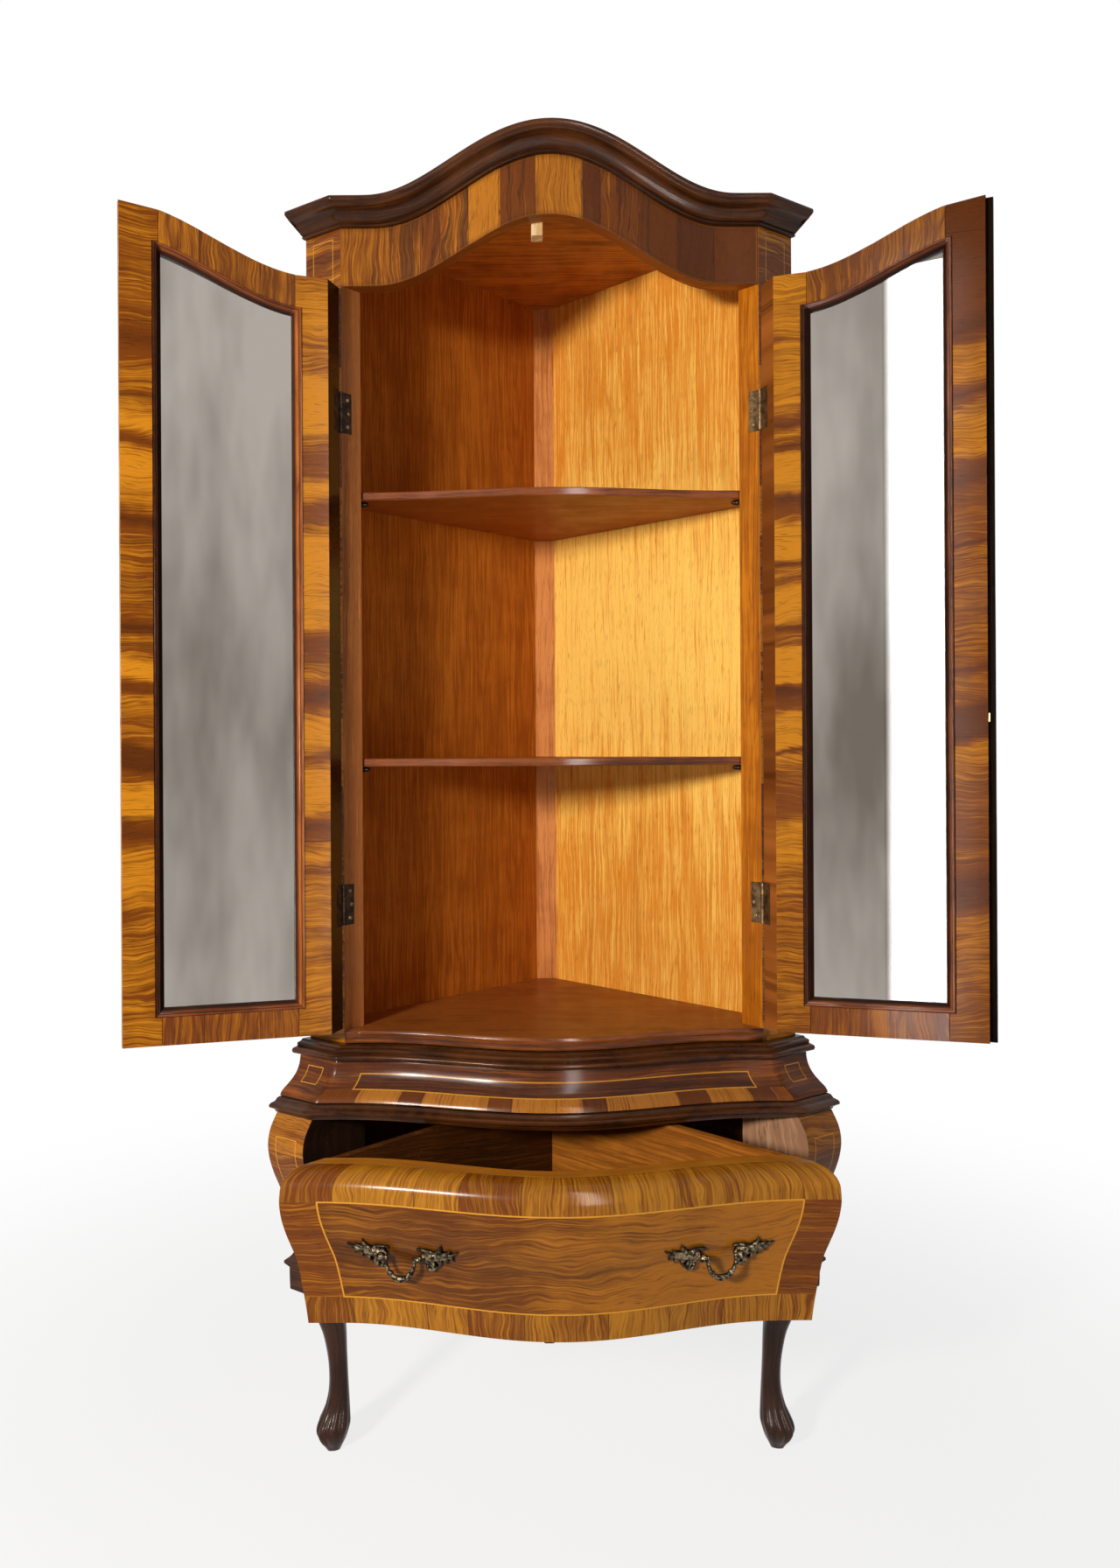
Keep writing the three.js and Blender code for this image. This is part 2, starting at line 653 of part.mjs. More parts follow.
function hinges(doors) {
  const near = doorSide / 2;
  const far = near + leafThickness;
  hingeHeights().forEach((z, i) => {
    const level = i ? "upper" : "lower";
    const low = z - hingeHeight / 2;
    const high = z + hingeHeight / 2;
    const third = hingeHeight / 3;
    for (const [side, hand] of [["left", -1], ["right", 1]]) {
      const relief = upright(knuckleRadius + gap, low + third - gap, high - third + gap);
      const fixed = shaped(jointPlate(-far, -near, 0, leafWidth, low, high), {
        add: [upright(knuckleRadius, low, low + third), upright(knuckleRadius, high - third, high)],
        cut: [relief],
      });
      const caseLeaf = shaped(fixed, { add: [upright(hingePinRadius, low, high)] });
      piece(`hinge_${level}_${side}_case_leaf`, handed(caseLeaf, hand), "iron");
      const clear = upright(knuckleRadius + gap, low - overrun, low + third + gap);
      const clearTop = upright(knuckleRadius + gap, high - third - gap, high + overrun);
      const doorLeaf = shaped(jointPlate(near, far, 0, leafWidth, low, high), {
        add: [upright(knuckleRadius, low + third + gap, high - third - gap)],
        cut: [clear, clearTop, upright(hingePinRadius + boreClearance, low - overrun, high + overrun)],
      });
      doors[side](`hinge_${level}_${side}_door_leaf`, handed(doorLeaf, hand), "iron");
    }
  });
}

// Plan line x + y of the hinge edge of a shut door, and the x of its two edges on the inner face
const doorEdgeSum = halfFront - doorSide * Math.SQRT2;
const leanRun = Math.tan(doorLean);
const doorEdgeX = (doorEdgeSum - stileDepth + (halfFront - stileDepth) * leanRun) / (1 + leanRun);
const glassHingeX = doorEdgeX - hingeStileWidth * Math.cos(doorLean);
const glassMeetX = doorMeet + meetStileWidth * Math.cos(doorLean);
const doorFootZ = displayFloor + doorFoot;
const doorHeadAt = (x) => friezeEdgeAt(x) - doorHead;
const glassFootZ = doorFootZ + bottomRailHeight;
const glassHeadAt = (x) => doorHeadAt(x) - topRailHeight;

// A flat slab parallel to the inner face of a shut door, in the glass opening drawn in by inset
function paneSlab(inset, near, far) {
  const outline = [[near, 0], [far, 0], [far, 1], [near, 1]];
  const from = glassMeetX + inset;
  const to = glassHingeX - inset;
  return carried(outline, frontSteps, (depth, up, t) => {
    const x = from + (to - from) * t;
    const low = glassFootZ + inset;
    const high = glassHeadAt(x) - inset;
    return [x, doorInnerAt(x) - depth, low + up * (high - low)];
  });
}

// An upright of a door frame: its plan outline, from the foot of the door to the arch over it
function doorUpright(outline) {
  return carried(outline, 1, (x, y, t) => {
    const low = doorFootZ;
    return [x, y, low + (doorHeadAt(x) - low) * t];
  });
}

// A rail between the two uprights, from its lower to its upper edge
function doorRail(lowAt, highAt) {
  const outline = [[0, 0], [1, 0], [1, 1], [0, 1]];
  const from = glassMeetX + glassLip + gap / 2;
  const to = glassHingeX - glassLip - gap / 2;
  return carried(outline, frontSteps, (depth, up, t) => {
    const x = from + (to - from) * t;
    const inner = doorInnerAt(x);
    const low = lowAt(x);
    return [x, inner + (frontAt(x) - inner) * depth, low + up * (highAt(x) - low)];
  });
}

function doorSet() {
  const doors = {};
  const steps = 8;
  const recess = paneSlab(0, -overrun, glassDepth);
  const lipX = glassHingeX - glassLip + gap / 2;
  const meetX = glassMeetX + glassLip - gap / 2;
  const hingeUpright = doorUpright([
    ...frontPoints(lipX, doorEdgeSum, steps),
    [doorEdgeX, doorInnerAt(doorEdgeX)],
    [lipX, doorInnerAt(lipX)],
  ]);
  const meetUpright = (edge) => {
    const step = frontAt(0) + lipWidth + Math.sign(edge) * doorMeet;
    return doorUpright([
      ...frontPoints(edge, meetX, steps),
      [meetX, doorInnerAt(meetX)],
      [doorMeet, doorInnerAt(doorMeet)],
      [doorMeet, step],
      [edge, step],
    ]);
  };
  const bottomRail = doorRail(() => doorFootZ, () => glassFootZ + glassLip);
  const topRail = doorRail((x) => glassHeadAt(x) - glassLip, doorHeadAt);
  for (const [side, hand] of [["left", -1], ["right", 1]]) {
    const holder = new THREE.Group();
    holder.position.set(hand * pinX, pinY, 0);
    holder.rotation.z = hand * doorOpen;
    body.add(holder);
    doors[side] = (name, geometry, finish) => {
      piece(name, geometry.translate(-hand * pinX, -pinY, 0), finish, holder);
    };
    const lapping = hand > 0;
    const meetEdge = lapping ? doorMeet - lipWidth : doorMeet + lipWidth;
    const meetCuts = [recess, lapping ? boltHole() : boltPocket()];
    const parts = {
      hinge_stile: shaped(hingeUpright, { cut: [recess, ...hingeHeights().map(hingeCut)] }),
      meeting_stile: shaped(meetUpright(meetEdge), { cut: meetCuts }),
      bottom_rail: shaped(bottomRail, { cut: [recess] }),
      top_rail: shaped(topRail, { cut: [recess] }),
    };
    for (const [name, geometry] of Object.entries(parts)) {
      doors[side](`door_${side}_${name}`, handed(geometry, hand), "veneer");
    }
    const glassBack = glassDepth - gap;
    const pane = paneSlab(gap, glassBack - glassThickness, glassBack);
    doors[side](`door_${side}_glass`, handed(pane, hand), "glass");
    const beadBack = glassBack - glassThickness - gap;
    const bead = shaped(paneSlab(gap, -beadProud, beadBack), {
      cut: [paneSlab(beadWidth, -beadProud - overrun, beadBack + overrun)],
    });
    doors[side](`door_${side}_glazing_bead`, handed(bead, hand), "bead");
  }
  return doors;
}

// The bolt slides in the meeting edge of the right door and is shot into a pocket in the left one
const pullZ = displayFloor + pullHeight;
const boltZ = pullZ - boltDrop;
const boltY = (frontAt(0) + lipWidth + doorInnerAt(0)) / 2;

function boltBox(from, to, clear) {
  const half = [boltThickness / 2 + clear, boltWidth / 2 + clear];
  return box([from, boltY - half[0], boltZ - half[1]], [to, boltY + half[0], boltZ + half[1]]);
}

const boltHole = () => boltBox(-overrun, doorMeet + boltLength, gap);
const boltPocket = () => boltBox(-overrun, doorMeet + boltThrow, gap * 2);

function doorPull(doors) {
  const boltEnd = doorMeet - boltShown;
  doors.right("lock_bolt", boltBox(boltEnd, boltEnd + boltLength - boltThrow, 0), "brass");
  const x = doorMeet + pullAside;
  const slope = (frontAt(x + overrun) - frontAt(x - overrun)) / (2 * overrun);
  const turn = Math.atan(slope);
  const seat = (geometry) => geometry.rotateZ(turn).translate(x, frontAt(x), pullZ);
  const disc = new THREE.CylinderGeometry(rosetteRadius, rosetteRadius, rosetteThickness, legSides);
  disc.translate(0, -rosetteThickness / 2 - gap, 0);
  const neck = new THREE.CylinderGeometry(pullNeckRadius, pullNeckRadius, pullNeckLength, legSides / 2);
  neck.translate(0, -pullNeckLength / 2 - rosetteThickness / 2, 0);
  const eyeY = -pullNeckLength - rosetteThickness / 2;
  const eyeHalf = ringWire * 2;
  const eye = new THREE.CylinderGeometry(eyeHalf, eyeHalf, eyeHalf, legSides);
  eye.rotateZ(Math.PI / 2).translate(0, eyeY - ringWire, 0);
  const bore = new THREE.CylinderGeometry(ringWire + gap, ringWire + gap, eyeHalf * 2, legSides);
  bore.rotateZ(Math.PI / 2).translate(0, eyeY - ringWire, 0);
  doors.right("pull_rosette", seat(shaped(disc, { add: [neck, eye], cut: [bore] })), "brass");
  const ring = ringPull().translate(0, eyeY - ringWire, 0);
  doors.right("pull_ring", seat(ring), "iron");
}

// A drop ring of round wire: a straight pin through the eye, and a round loop below it
function ringPull() {
  const half = ringOuter - ringWire;
  const points = ringShares.map(([a, b]) => new THREE.Vector3(a * half, 0, b * half));
  const path = new THREE.CatmullRomCurve3(points);
  const wire = tube(path, ringWire, frontSteps);
  const pin = new THREE.CylinderGeometry(ringWire, ringWire, half * ringPinShare, legSides / 2);
  return shaped(wire, { add: [pin.rotateZ(Math.PI / 2)] });
}

// Round wire along a curve
function tube(path, radius, steps) {
  const ring = new THREE.Shape().absarc(0, 0, radius, 0, 2 * Math.PI);
  const made = new THREE.ExtrudeGeometry(ring, { steps, curveSegments: legSides / 4, extrudePath: path });
  return facingOut(made);
}

// The drawer front follows the swell, and rolls over along its top edge
function drawerFrontSection() {
  const low = drawerFloor + drawerLift;
  const high = beltBottom - drawerHead;
  const rollFoot = high - drawerRimDrop;
  const rows = swellShares
    .map(([at]) => drawerFloor + at * drawerSpace)
    .filter((z) => z > low && z < rollFoot)
    .map((z) => [swellAt(z), z]);
  const rim = swell * drawerRimShare;
  const rollTop = swellAt(rollFoot);
  const roll = Array.from({ length: rollSteps }, (_, i) => {
    const turn = ((i + 1) * Math.PI) / (2 * rollSteps);
    return [rim + (rollTop - rim) * Math.cos(turn), rollFoot + drawerRimDrop * Math.sin(turn)];
  });
  return [[drawerBack, low], [swellAt(low), low], ...rows, [rollTop, rollFoot], ...roll, [drawerBack, high]];
}

// The swelling face of the drawer, a share of the way across it, out from the plan
function onDrawerFace(across, out, z) {
  return [across * (1 + out / halfFront), frontAt(across) - out, z];
}

function drawer() {
  const holder = new THREE.Group();
  holder.position.y = -drawerOut;
  body.add(holder);
  const high = beltBottom - drawerHead;
  const reach = halfFront - drawerSide;
  const front = carried(drawerFrontSection(), frontSteps, (out, up, t) => {
    return onDrawerFace(reach * (2 * t - 1), out, up);
  });
  piece("drawer_front", front, "veneer", holder);
  const frontY = -drawerBack + gap;
  const inner = sideSum - sideThickness * Math.SQRT2;
  const side = [
    [sideSum - frontY, frontY],
    [gap / 2, sideSum - gap / 2],
    [gap / 2, inner - gap / 2],
    [inner - frontY, frontY],
  ];
  const under = drawerFloor + drawerBottomUp;
  for (const [name, hand] of [["left", -1], ["right", 1]]) {
    piece(`drawer_side_${name}`, handed(board(side, under, high), hand), "panel", holder);
  }
  const edge = inner - gap * Math.SQRT2;
  const bottom = [
    ...frontPoints(frontY - edge, edge - frontY, frontSteps, drawerBack - gap),
    [gap, edge - gap],
    [-gap, edge - gap],
  ];
  piece("drawer_bottom", board(bottom, under, under + drawerBottomThickness), "panel", holder);
  for (const [name, hand] of [["left", -1], ["right", 1]]) handle(name, hand, holder);
}

// A leaf-shaped casting: pointed at its outer end, scrolled where it holds the bail
function leafPoints() {
  return leafShares.map(([a, b]) => [a * leafSpan, b * leafRise]);
}

// Two leaf castings follow the swell of the drawer front, and a bail hangs between them
function handle(name, hand, parent) {
  const z = drawerFloor + handleUp;
  const out = swellAt(z) + gap + leafPlate + bossStand;
  const stretch = 1 + out / halfFront;
  const placed = (along, from, up) => onDrawerFace((handleAside + along) / stretch, from, up);
  const bossAt = bailHalf + pinShoulder + bossLength / 2;
  const ends = [-1, 1].map((way) => new THREE.Vector3(...placed(way * bossAt, out, z)));
  const middle = ends[0].clone().add(ends[1]).divideScalar(2);
  const turn = Math.atan2(ends[1].y - ends[0].y, ends[1].x - ends[0].x);
  for (const [side, way] of [["inner", -1], ["outer", 1]]) {
    const rim = leafPoints().map(([a, b]) => [way * (a + bailHalf + bossLength / 2), b]);
    const plate = carried(rim, 1, (a, b, t) => placed(a, swellAt(z + b) + gap + leafPlate * t, z + b));
    const seat = (geometry) => geometry.rotateZ(turn).translate(...middle);
    const alongPin = (radius, length, from) =>
      new THREE.CylinderGeometry(radius, radius, length, legSides / 2)
        .rotateZ(Math.PI / 2)
        .translate(way * (from + length / 2), 0, 0);
    const boss = seat(alongPin(bossRadius, bossLength, bailHalf + pinShoulder));
    const bore = seat(alongPin(bailPin + gap, bossLength * 2, bailHalf));
    const from = bailHalf + pinShoulder + gap;
    const to = from + bossLength - gap * 2;
    const neck = seat(box(
      [Math.min(way * from, way * to), 0, -neckHalf],
      [Math.max(way * from, way * to), bossStand + leafPlate * neckShare, neckHalf],
    ));
    const leaf = shaped(plate, { add: [neck, boss], cut: [bore] });
    piece(`handle_${name}_${side}_leaf`, handed(leaf, hand), "bronze", parent);
  }
  const pivot = new THREE.Group();
  pivot.position.set(hand * middle.x, middle.y, middle.z);
  pivot.rotation.z = hand * turn;
  parent.add(pivot);
  piece(`handle_${name}_bail`, bailWireShape(), "bronze", pivot);
}

// A U of round wire that hangs from two pins, thickened where it is grasped
function bailWireShape() {
  const points = bailShares.map(([a, b]) => new THREE.Vector3(a * bailHalf, 0, b * bailDrop));
  const wire = tube(new THREE.CatmullRomCurve3(points), bailWire, frontSteps / 2);
  const grip = new THREE.SphereGeometry(gripRadius, legSides / 2, legSides / 4);
  grip.translate(0, 0, -bailDrop);
  const ends = [-1, 1].flatMap((way) => {
    const pin = new THREE.CylinderGeometry(bailPin, bailPin, pinShoulder + bossLength, legSides / 2);
    pin.rotateZ(Math.PI / 2).translate(way * (bailHalf + (pinShoulder + bossLength) / 2), 0, 0);
    const knob = new THREE.SphereGeometry(bailWire + gap, legSides / 2, legSides / 4);
    return [pin, knob.translate(way * bailHalf, 0, 0)];
  });
  return shaped(wire, { add: [grip, ...ends] });
}

displayCase();
shelves();
catchBlock();
baseBands();
cornerPosts();
baseInside();
legs();
const doors = doorSet();
hinges(doors);
doorPull(doors);
drawer();

// The origin lies on the floor, under the middle of the whole
const extent = new THREE.Box3().setFromObject(body, true);
const middle = extent.getCenter(new THREE.Vector3());
body.position.set(-middle.x, -middle.y, -extent.min.z);

export default cabinet;
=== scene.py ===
# Corner curio cabinet: glazed doors swung open over a swelling base, its drawer drawn out.
import math

import bmesh
import bpy
from mathutils import Matrix, Vector


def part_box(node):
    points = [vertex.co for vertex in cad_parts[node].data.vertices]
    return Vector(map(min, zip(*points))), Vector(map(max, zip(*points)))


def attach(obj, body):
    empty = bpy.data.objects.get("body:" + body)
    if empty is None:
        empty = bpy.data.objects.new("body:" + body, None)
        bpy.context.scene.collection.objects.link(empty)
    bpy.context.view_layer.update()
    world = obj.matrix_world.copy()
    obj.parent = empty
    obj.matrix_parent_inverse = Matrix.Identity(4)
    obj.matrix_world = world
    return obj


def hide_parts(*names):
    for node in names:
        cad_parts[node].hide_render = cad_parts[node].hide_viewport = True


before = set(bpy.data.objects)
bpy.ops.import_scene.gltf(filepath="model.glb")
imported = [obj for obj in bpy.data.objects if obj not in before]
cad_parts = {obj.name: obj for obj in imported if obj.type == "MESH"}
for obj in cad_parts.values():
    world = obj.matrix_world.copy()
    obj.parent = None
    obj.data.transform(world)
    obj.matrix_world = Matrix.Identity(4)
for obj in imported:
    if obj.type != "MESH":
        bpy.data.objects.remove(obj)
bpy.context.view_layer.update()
print("frame loaded")

mm = 0.001

# The plan of the cabinet: x across from its middle, y back from the ends of the bowed front
plan = {
    "halfFront": 312 * mm,
    "cantRun": 59 * mm,
    "cantDepth": 41 * mm,
    "bow": 54 * mm,
    "bowShare": 0.88,
    "archRise": 82 * mm,
    "archShare": 0.83,
    "wallSum": 399.98 * mm,
    "backSum": 412 * mm,
    "gap": 0.3 * mm,
    "stile": 25.5 * mm,
}
leftStile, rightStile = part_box("stile_left"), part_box("stile_right")
origin = Vector(((leftStile[0].x + rightStile[1].x) / 2, leftStile[0].y, 0))

hands = {"left": -1, "right": 1}


def hump(x, share):  # height share of a raised cosine over part of the front
    along = abs(x) / (plan["halfFront"] * share)
    return (1 + math.cos(math.pi * along)) / 2 if along < 1 else 0.0


def frontAt(x):
    return -plan["bow"] * hump(x, plan["bowShare"])


def tableAt(rows, at):  # smooth value of a table of (at, value) rows
    last = len(rows) - 1
    if at <= rows[0][0]:
        return rows[0][1]
    if at >= rows[last][0]:
        return rows[last][1]
    i = next(k for k in range(last) if rows[k + 1][0] >= at)
    (x0, y0), (x1, y1) = rows[i], rows[i + 1]
    before, after = rows[max(i - 1, 0)], rows[min(i + 2, last)]
    slope0 = (y1 - before[1]) / (x1 - before[0])
    slope1 = (after[1] - y0) / (after[0] - x0)
    w = x1 - x0
    t = (at - x0) / w
    return (
        y0 * (2 * t**3 - 3 * t**2 + 1)
        + slope0 * w * (t**3 - 2 * t**2 + t)
        + y1 * (3 * t**2 - 2 * t**3)
        + slope1 * w * (t**3 - t**2)
    )


def feed(tree, node, feeds):  # links what is a socket, and sets what is a value
    for key, value in feeds.items():
        if isinstance(value, bpy.types.NodeSocket):
            tree.links.new(value, node.inputs[key])
        else:
            node.inputs[key].default_value = value


def place(tree, kind, feeds=None, **settings):  # a node with its values set and its sockets fed
    made = tree.nodes.new(kind)
    for key, value in settings.items():
        setattr(made, key, value)
    feed(tree, made, feeds or {})
    return made


def calc(tree, operation, a, b=0.0, c=0.0, clamp=False):
    terms = {0: a, 1: b, 2: c}
    return place(tree, "ShaderNodeMath", terms, operation=operation, use_clamp=clamp).outputs[0]


def times(tree, a, b, clamp=False):
    return calc(tree, "MULTIPLY", a, b, clamp=clamp)


def plus(tree, a, b, clamp=False):
    return calc(tree, "ADD", a, b, clamp=clamp)


def minus(tree, a, b):
    return calc(tree, "SUBTRACT", a, b)


def divide(tree, a, b):
    return calc(tree, "DIVIDE", a, b)


def timesPlus(tree, a, b, c, clamp=False):
    return calc(tree, "MULTIPLY_ADD", a, b, c, clamp)


def larger(tree, a, b):
    return calc(tree, "MAXIMUM", a, b)


def isBelow(tree, a, b):
    return calc(tree, "LESS_THAN", a, b)


def absolute(tree, a):
    return calc(tree, "ABSOLUTE", a)


def offFrom(tree, a, b):
    return absolute(tree, minus(tree, a, b))


def blendColor(tree, fac, a, b):
    return place(tree, "ShaderNodeMix", {0: fac, 6: a, 7: b}, data_type="RGBA").outputs[2]


def remap(tree, value, low, high, toLow=0.0, toHigh=1.0):
    feeds = {0: value, 1: low, 2: high, 3: toLow, 4: toHigh}
    return place(tree, "ShaderNodeMapRange", feeds, interpolation_type="SMOOTHSTEP").outputs[0]


def joinVector(tree, x, y, z):
    return place(tree, "ShaderNodeCombineXYZ", {0: x, 1: y, 2: z}).outputs[0]


def split(tree, vector):
    return place(tree, "ShaderNodeSeparateXYZ", {0: vector}).outputs


def objectSpots(tree):
    return place(tree, "ShaderNodeTexCoord").outputs["Object"]


def attribute(tree, name):
    return place(tree, "ShaderNodeAttribute", attribute_name=name).outputs["Vector"]


def noiseAt(tree, vector, scale=1.0, detail=2.0, roughness=0.5):
    feeds = {"Vector": vector, "Scale": scale, "Detail": detail, "Roughness": roughness}
    return place(tree, "ShaderNodeTexNoise", feeds).outputs[0]


def addSocket(tree, label, kind, value=None, way="INPUT"):
    socket = tree.interface.new_socket(label, in_out=way, socket_type="NodeSocket" + kind)
    if value is not None:
        socket.default_value = value


def treeEnds(tree):
    return tree.nodes.new("NodeGroupInput").outputs, tree.nodes.new("NodeGroupOutput")


def newGroup(name, inputs, outputs):  # the kind of an input follows from its value
    tree = bpy.data.node_groups.new(name, "ShaderNodeTree")
    for label, value in inputs.items():
        kind = "Float" if isinstance(value, float) else {3: "Vector", 4: "Color"}[len(value)]
        addSocket(tree, label, kind, value)
    for label in outputs:
        addSocket(tree, label, "Color" if label == "Color" else "Float", way="OUTPUT")
    return tree, *treeEnds(tree)


def useGroup(tree, name, feeds):
    return place(tree, "ShaderNodeGroup", feeds, node_tree=groups[name]).outputs


def srgb(r, g, b):  # a colour as it is seen, from 0 to 255, to the linear values that shaders take
    linear = [(v / 255 / 12.92) if v < 10.3 else ((v / 255 + 0.055) / 1.055) ** 2.4 for v in (r, g, b)]
    return (*linear, 1.0)


def buildFigure():  # figured wood: x runs along the grain, y across it, z tells one board from the next
    inputs = {
        "Lay": (0, 0, 0), "Light": (0.5, 0.2, 0.03, 1), "Mid": (0.3, 0.1, 0.02, 1),
        "Dark": (0.06, 0.02, 0.01, 1), "Scale": 22.0, "Waviness": 0.02, "Slant": 0.0, "Streaks": 0.6,
        "Rings": 0.5, "Tone": 0.5, "Fibre": 0.4, "Contrast": 0.6,
    }
    tree, given, out = newGroup("woodFigure", inputs, ("Color", "Height"))

    def sample(alongScale, across, add, detail=2.0, roughness=0.55):
        spot = joinVector(tree, times(tree, u, alongScale), across, plus(tree, seed, add))
        return noiseAt(tree, spot, 1.0, detail, roughness)

    def centred(value, gain):
        return times(tree, minus(tree, value, 0.5), gain)

    u, v, board = split(tree, given["Lay"])
    seed = times(tree, board, 13.7)
    lean = minus(tree, calc(tree, "FRACT", times(tree, board, 3.31)), 0.5)
    lean = times(tree, times(tree, lean, given["Slant"]), u)
    bend = centred(sample(6.0, times(tree, v, 8.0), 0.0), given["Waviness"])
    ripple = centred(sample(28.0, times(tree, v, 30.0), 5.0, 1.0), times(tree, given["Waviness"], 0.2))
    across = plus(tree, plus(tree, v, lean), plus(tree, bend, ripple))
    scaled = times(tree, across, given["Scale"])
    broad = sample(1.6, scaled, 0.0, 3.0)
    medium = sample(4.0, times(tree, scaled, 4.6), 3.1, 3.0, 0.6)
    fine = sample(9.0, times(tree, across, 380.0), 1.7, 3.0, 0.65)
    glow = sample(20.0, times(tree, v, 14.0), 9.0)
    growth = sample(1.1, times(tree, scaled, 0.6), 6.2, 1.0)
    ring = calc(tree, "PINGPONG", times(tree, growth, 14.0), 0.5)
    ring = calc(tree, "POWER", times(tree, ring, 2.0, clamp=True), 4.0)
    shade = plus(tree, centred(broad, 1.3), centred(medium, 0.9))
    shade = times(tree, plus(tree, shade, centred(glow, 1.0)), given["Contrast"])
    shade = plus(tree, shade, centred(fine, times(tree, given["Fibre"], 2.6)))
    shade = plus(tree, shade, centred(given["Tone"], 1.1))
    shade = minus(tree, shade, times(tree, ring, times(tree, given["Rings"], 0.4)))
    ground = blendColor(tree, remap(tree, plus(tree, shade, 0.5), 0.22, 0.8), given["Mid"], given["Light"])
    low = timesPlus(tree, given["Tone"], 0.1, 0.53)
    streak = remap(tree, sample(1.9, times(tree, scaled, 1.9), 8.4, 4.0, 0.6), low, plus(tree, low, 0.07))
    streak = times(tree, streak, timesPlus(tree, fine, 0.8, 0.55, clamp=True))
    streak = times(tree, streak, given["Streaks"], clamp=True)
    sunk = remap(tree, given["Tone"], 0.3, 0.0, 0.0, 0.7)  # dark bands lose their figure
    sunk = times(tree, sunk, plus(tree, fine, 0.4), clamp=True)
    color = blendColor(tree, larger(tree, streak, sunk), ground, given["Dark"])
    pores = remap(tree, sample(46.0, times(tree, across, 900.0), 2.0, 1.0, 0.5), 0.62, 0.72)
    dim = times(tree, pores, times(tree, given["Fibre"], 1.1), clamp=True)
    color = blendColor(tree, dim, color, given["Dark"])
    feed(tree, out, {"Color": color, "Height": timesPlus(tree, pores, -1.0, fine)})
    return tree


def buildPatches():  # veneer laid in pieces of uneven width, with a hair seam between them
    inputs = {"Along": 0.0, "Width": 0.1, "Seam": 0.0006, "Seed": 0.0}
    tree, given, out = newGroup("veneerPatches", inputs, ("Tone", "Board", "Seam"))
    at = plus(tree, divide(tree, given["Along"], given["Width"]), given["Seed"])

    def cells(**settings):
        feeds = {"W": at, "Scale": 1.0, "Randomness": 0.75}
        return place(tree, "ShaderNodeTexVoronoi", feeds, voronoi_dimensions="1D", **settings).outputs

    tone = place(tree, "ShaderNodeSeparateColor", {0: cells()["Color"]}).outputs
    reach = times(tree, cells(feature="DISTANCE_TO_EDGE")["Distance"], given["Width"])
    found = {
        "Tone": tone[0], "Board": times(tree, tone[1], 9.0), "Seam": isBelow(tree, reach, given["Seam"]),
    }
    feed(tree, out, found)
    return tree


def buildStringing():  # an inlaid line round a rectangle, and what lies inside it
    inputs = {
        "Spot": (0, 0, 0), "Middle A": 0.0, "Middle B": 0.0, "Half A": 0.1, "Half B": 0.05, "Taper": 0.0,
        "Line": 0.0012,
    }
    tree, given, out = newGroup("stringing", inputs, ("Line", "Inside"))
    parts = split(tree, given["Spot"])
    rise = minus(tree, parts[1], given["Middle B"])
    half = timesPlus(tree, rise, given["Taper"], given["Half A"])
    offA = minus(tree, offFrom(tree, parts[0], given["Middle A"]), half)
    off = larger(tree, offA, minus(tree, absolute(tree, rise), given["Half B"]))
    line = isBelow(tree, absolute(tree, off), times(tree, given["Line"], 0.5))
    feed(tree, out, {"Line": line, "Inside": isBelow(tree, off, 0.0)})
    return tree


def buildAge():  # dust, dull patches and fine marks in a polish
    inputs = {"Vector": (0, 0, 0), "Scale": 14.0, "Dullest": 0.5, "Shiniest": 0.25}
    tree, given, out = newGroup("agedPolish", inputs, ("Roughness", "Marks"))
    cloud = noiseAt(tree, given["Vector"], given["Scale"], 4.0, 0.6)
    rough = remap(tree, cloud, 0.3, 0.7, given["Shiniest"], given["Dullest"])
    specks = noiseAt(tree, given["Vector"], times(tree, given["Scale"], 22.0), 2.0, 0.6)
    feed(tree, out, {"Roughness": rough, "Marks": remap(tree, specks, 0.7, 0.78)})
    return tree


groups = {
    "figure": buildFigure(),
    "patches": buildPatches(),
    "stringing": buildStringing(),
    "age": buildAge(),
}
print("shared effects ready")


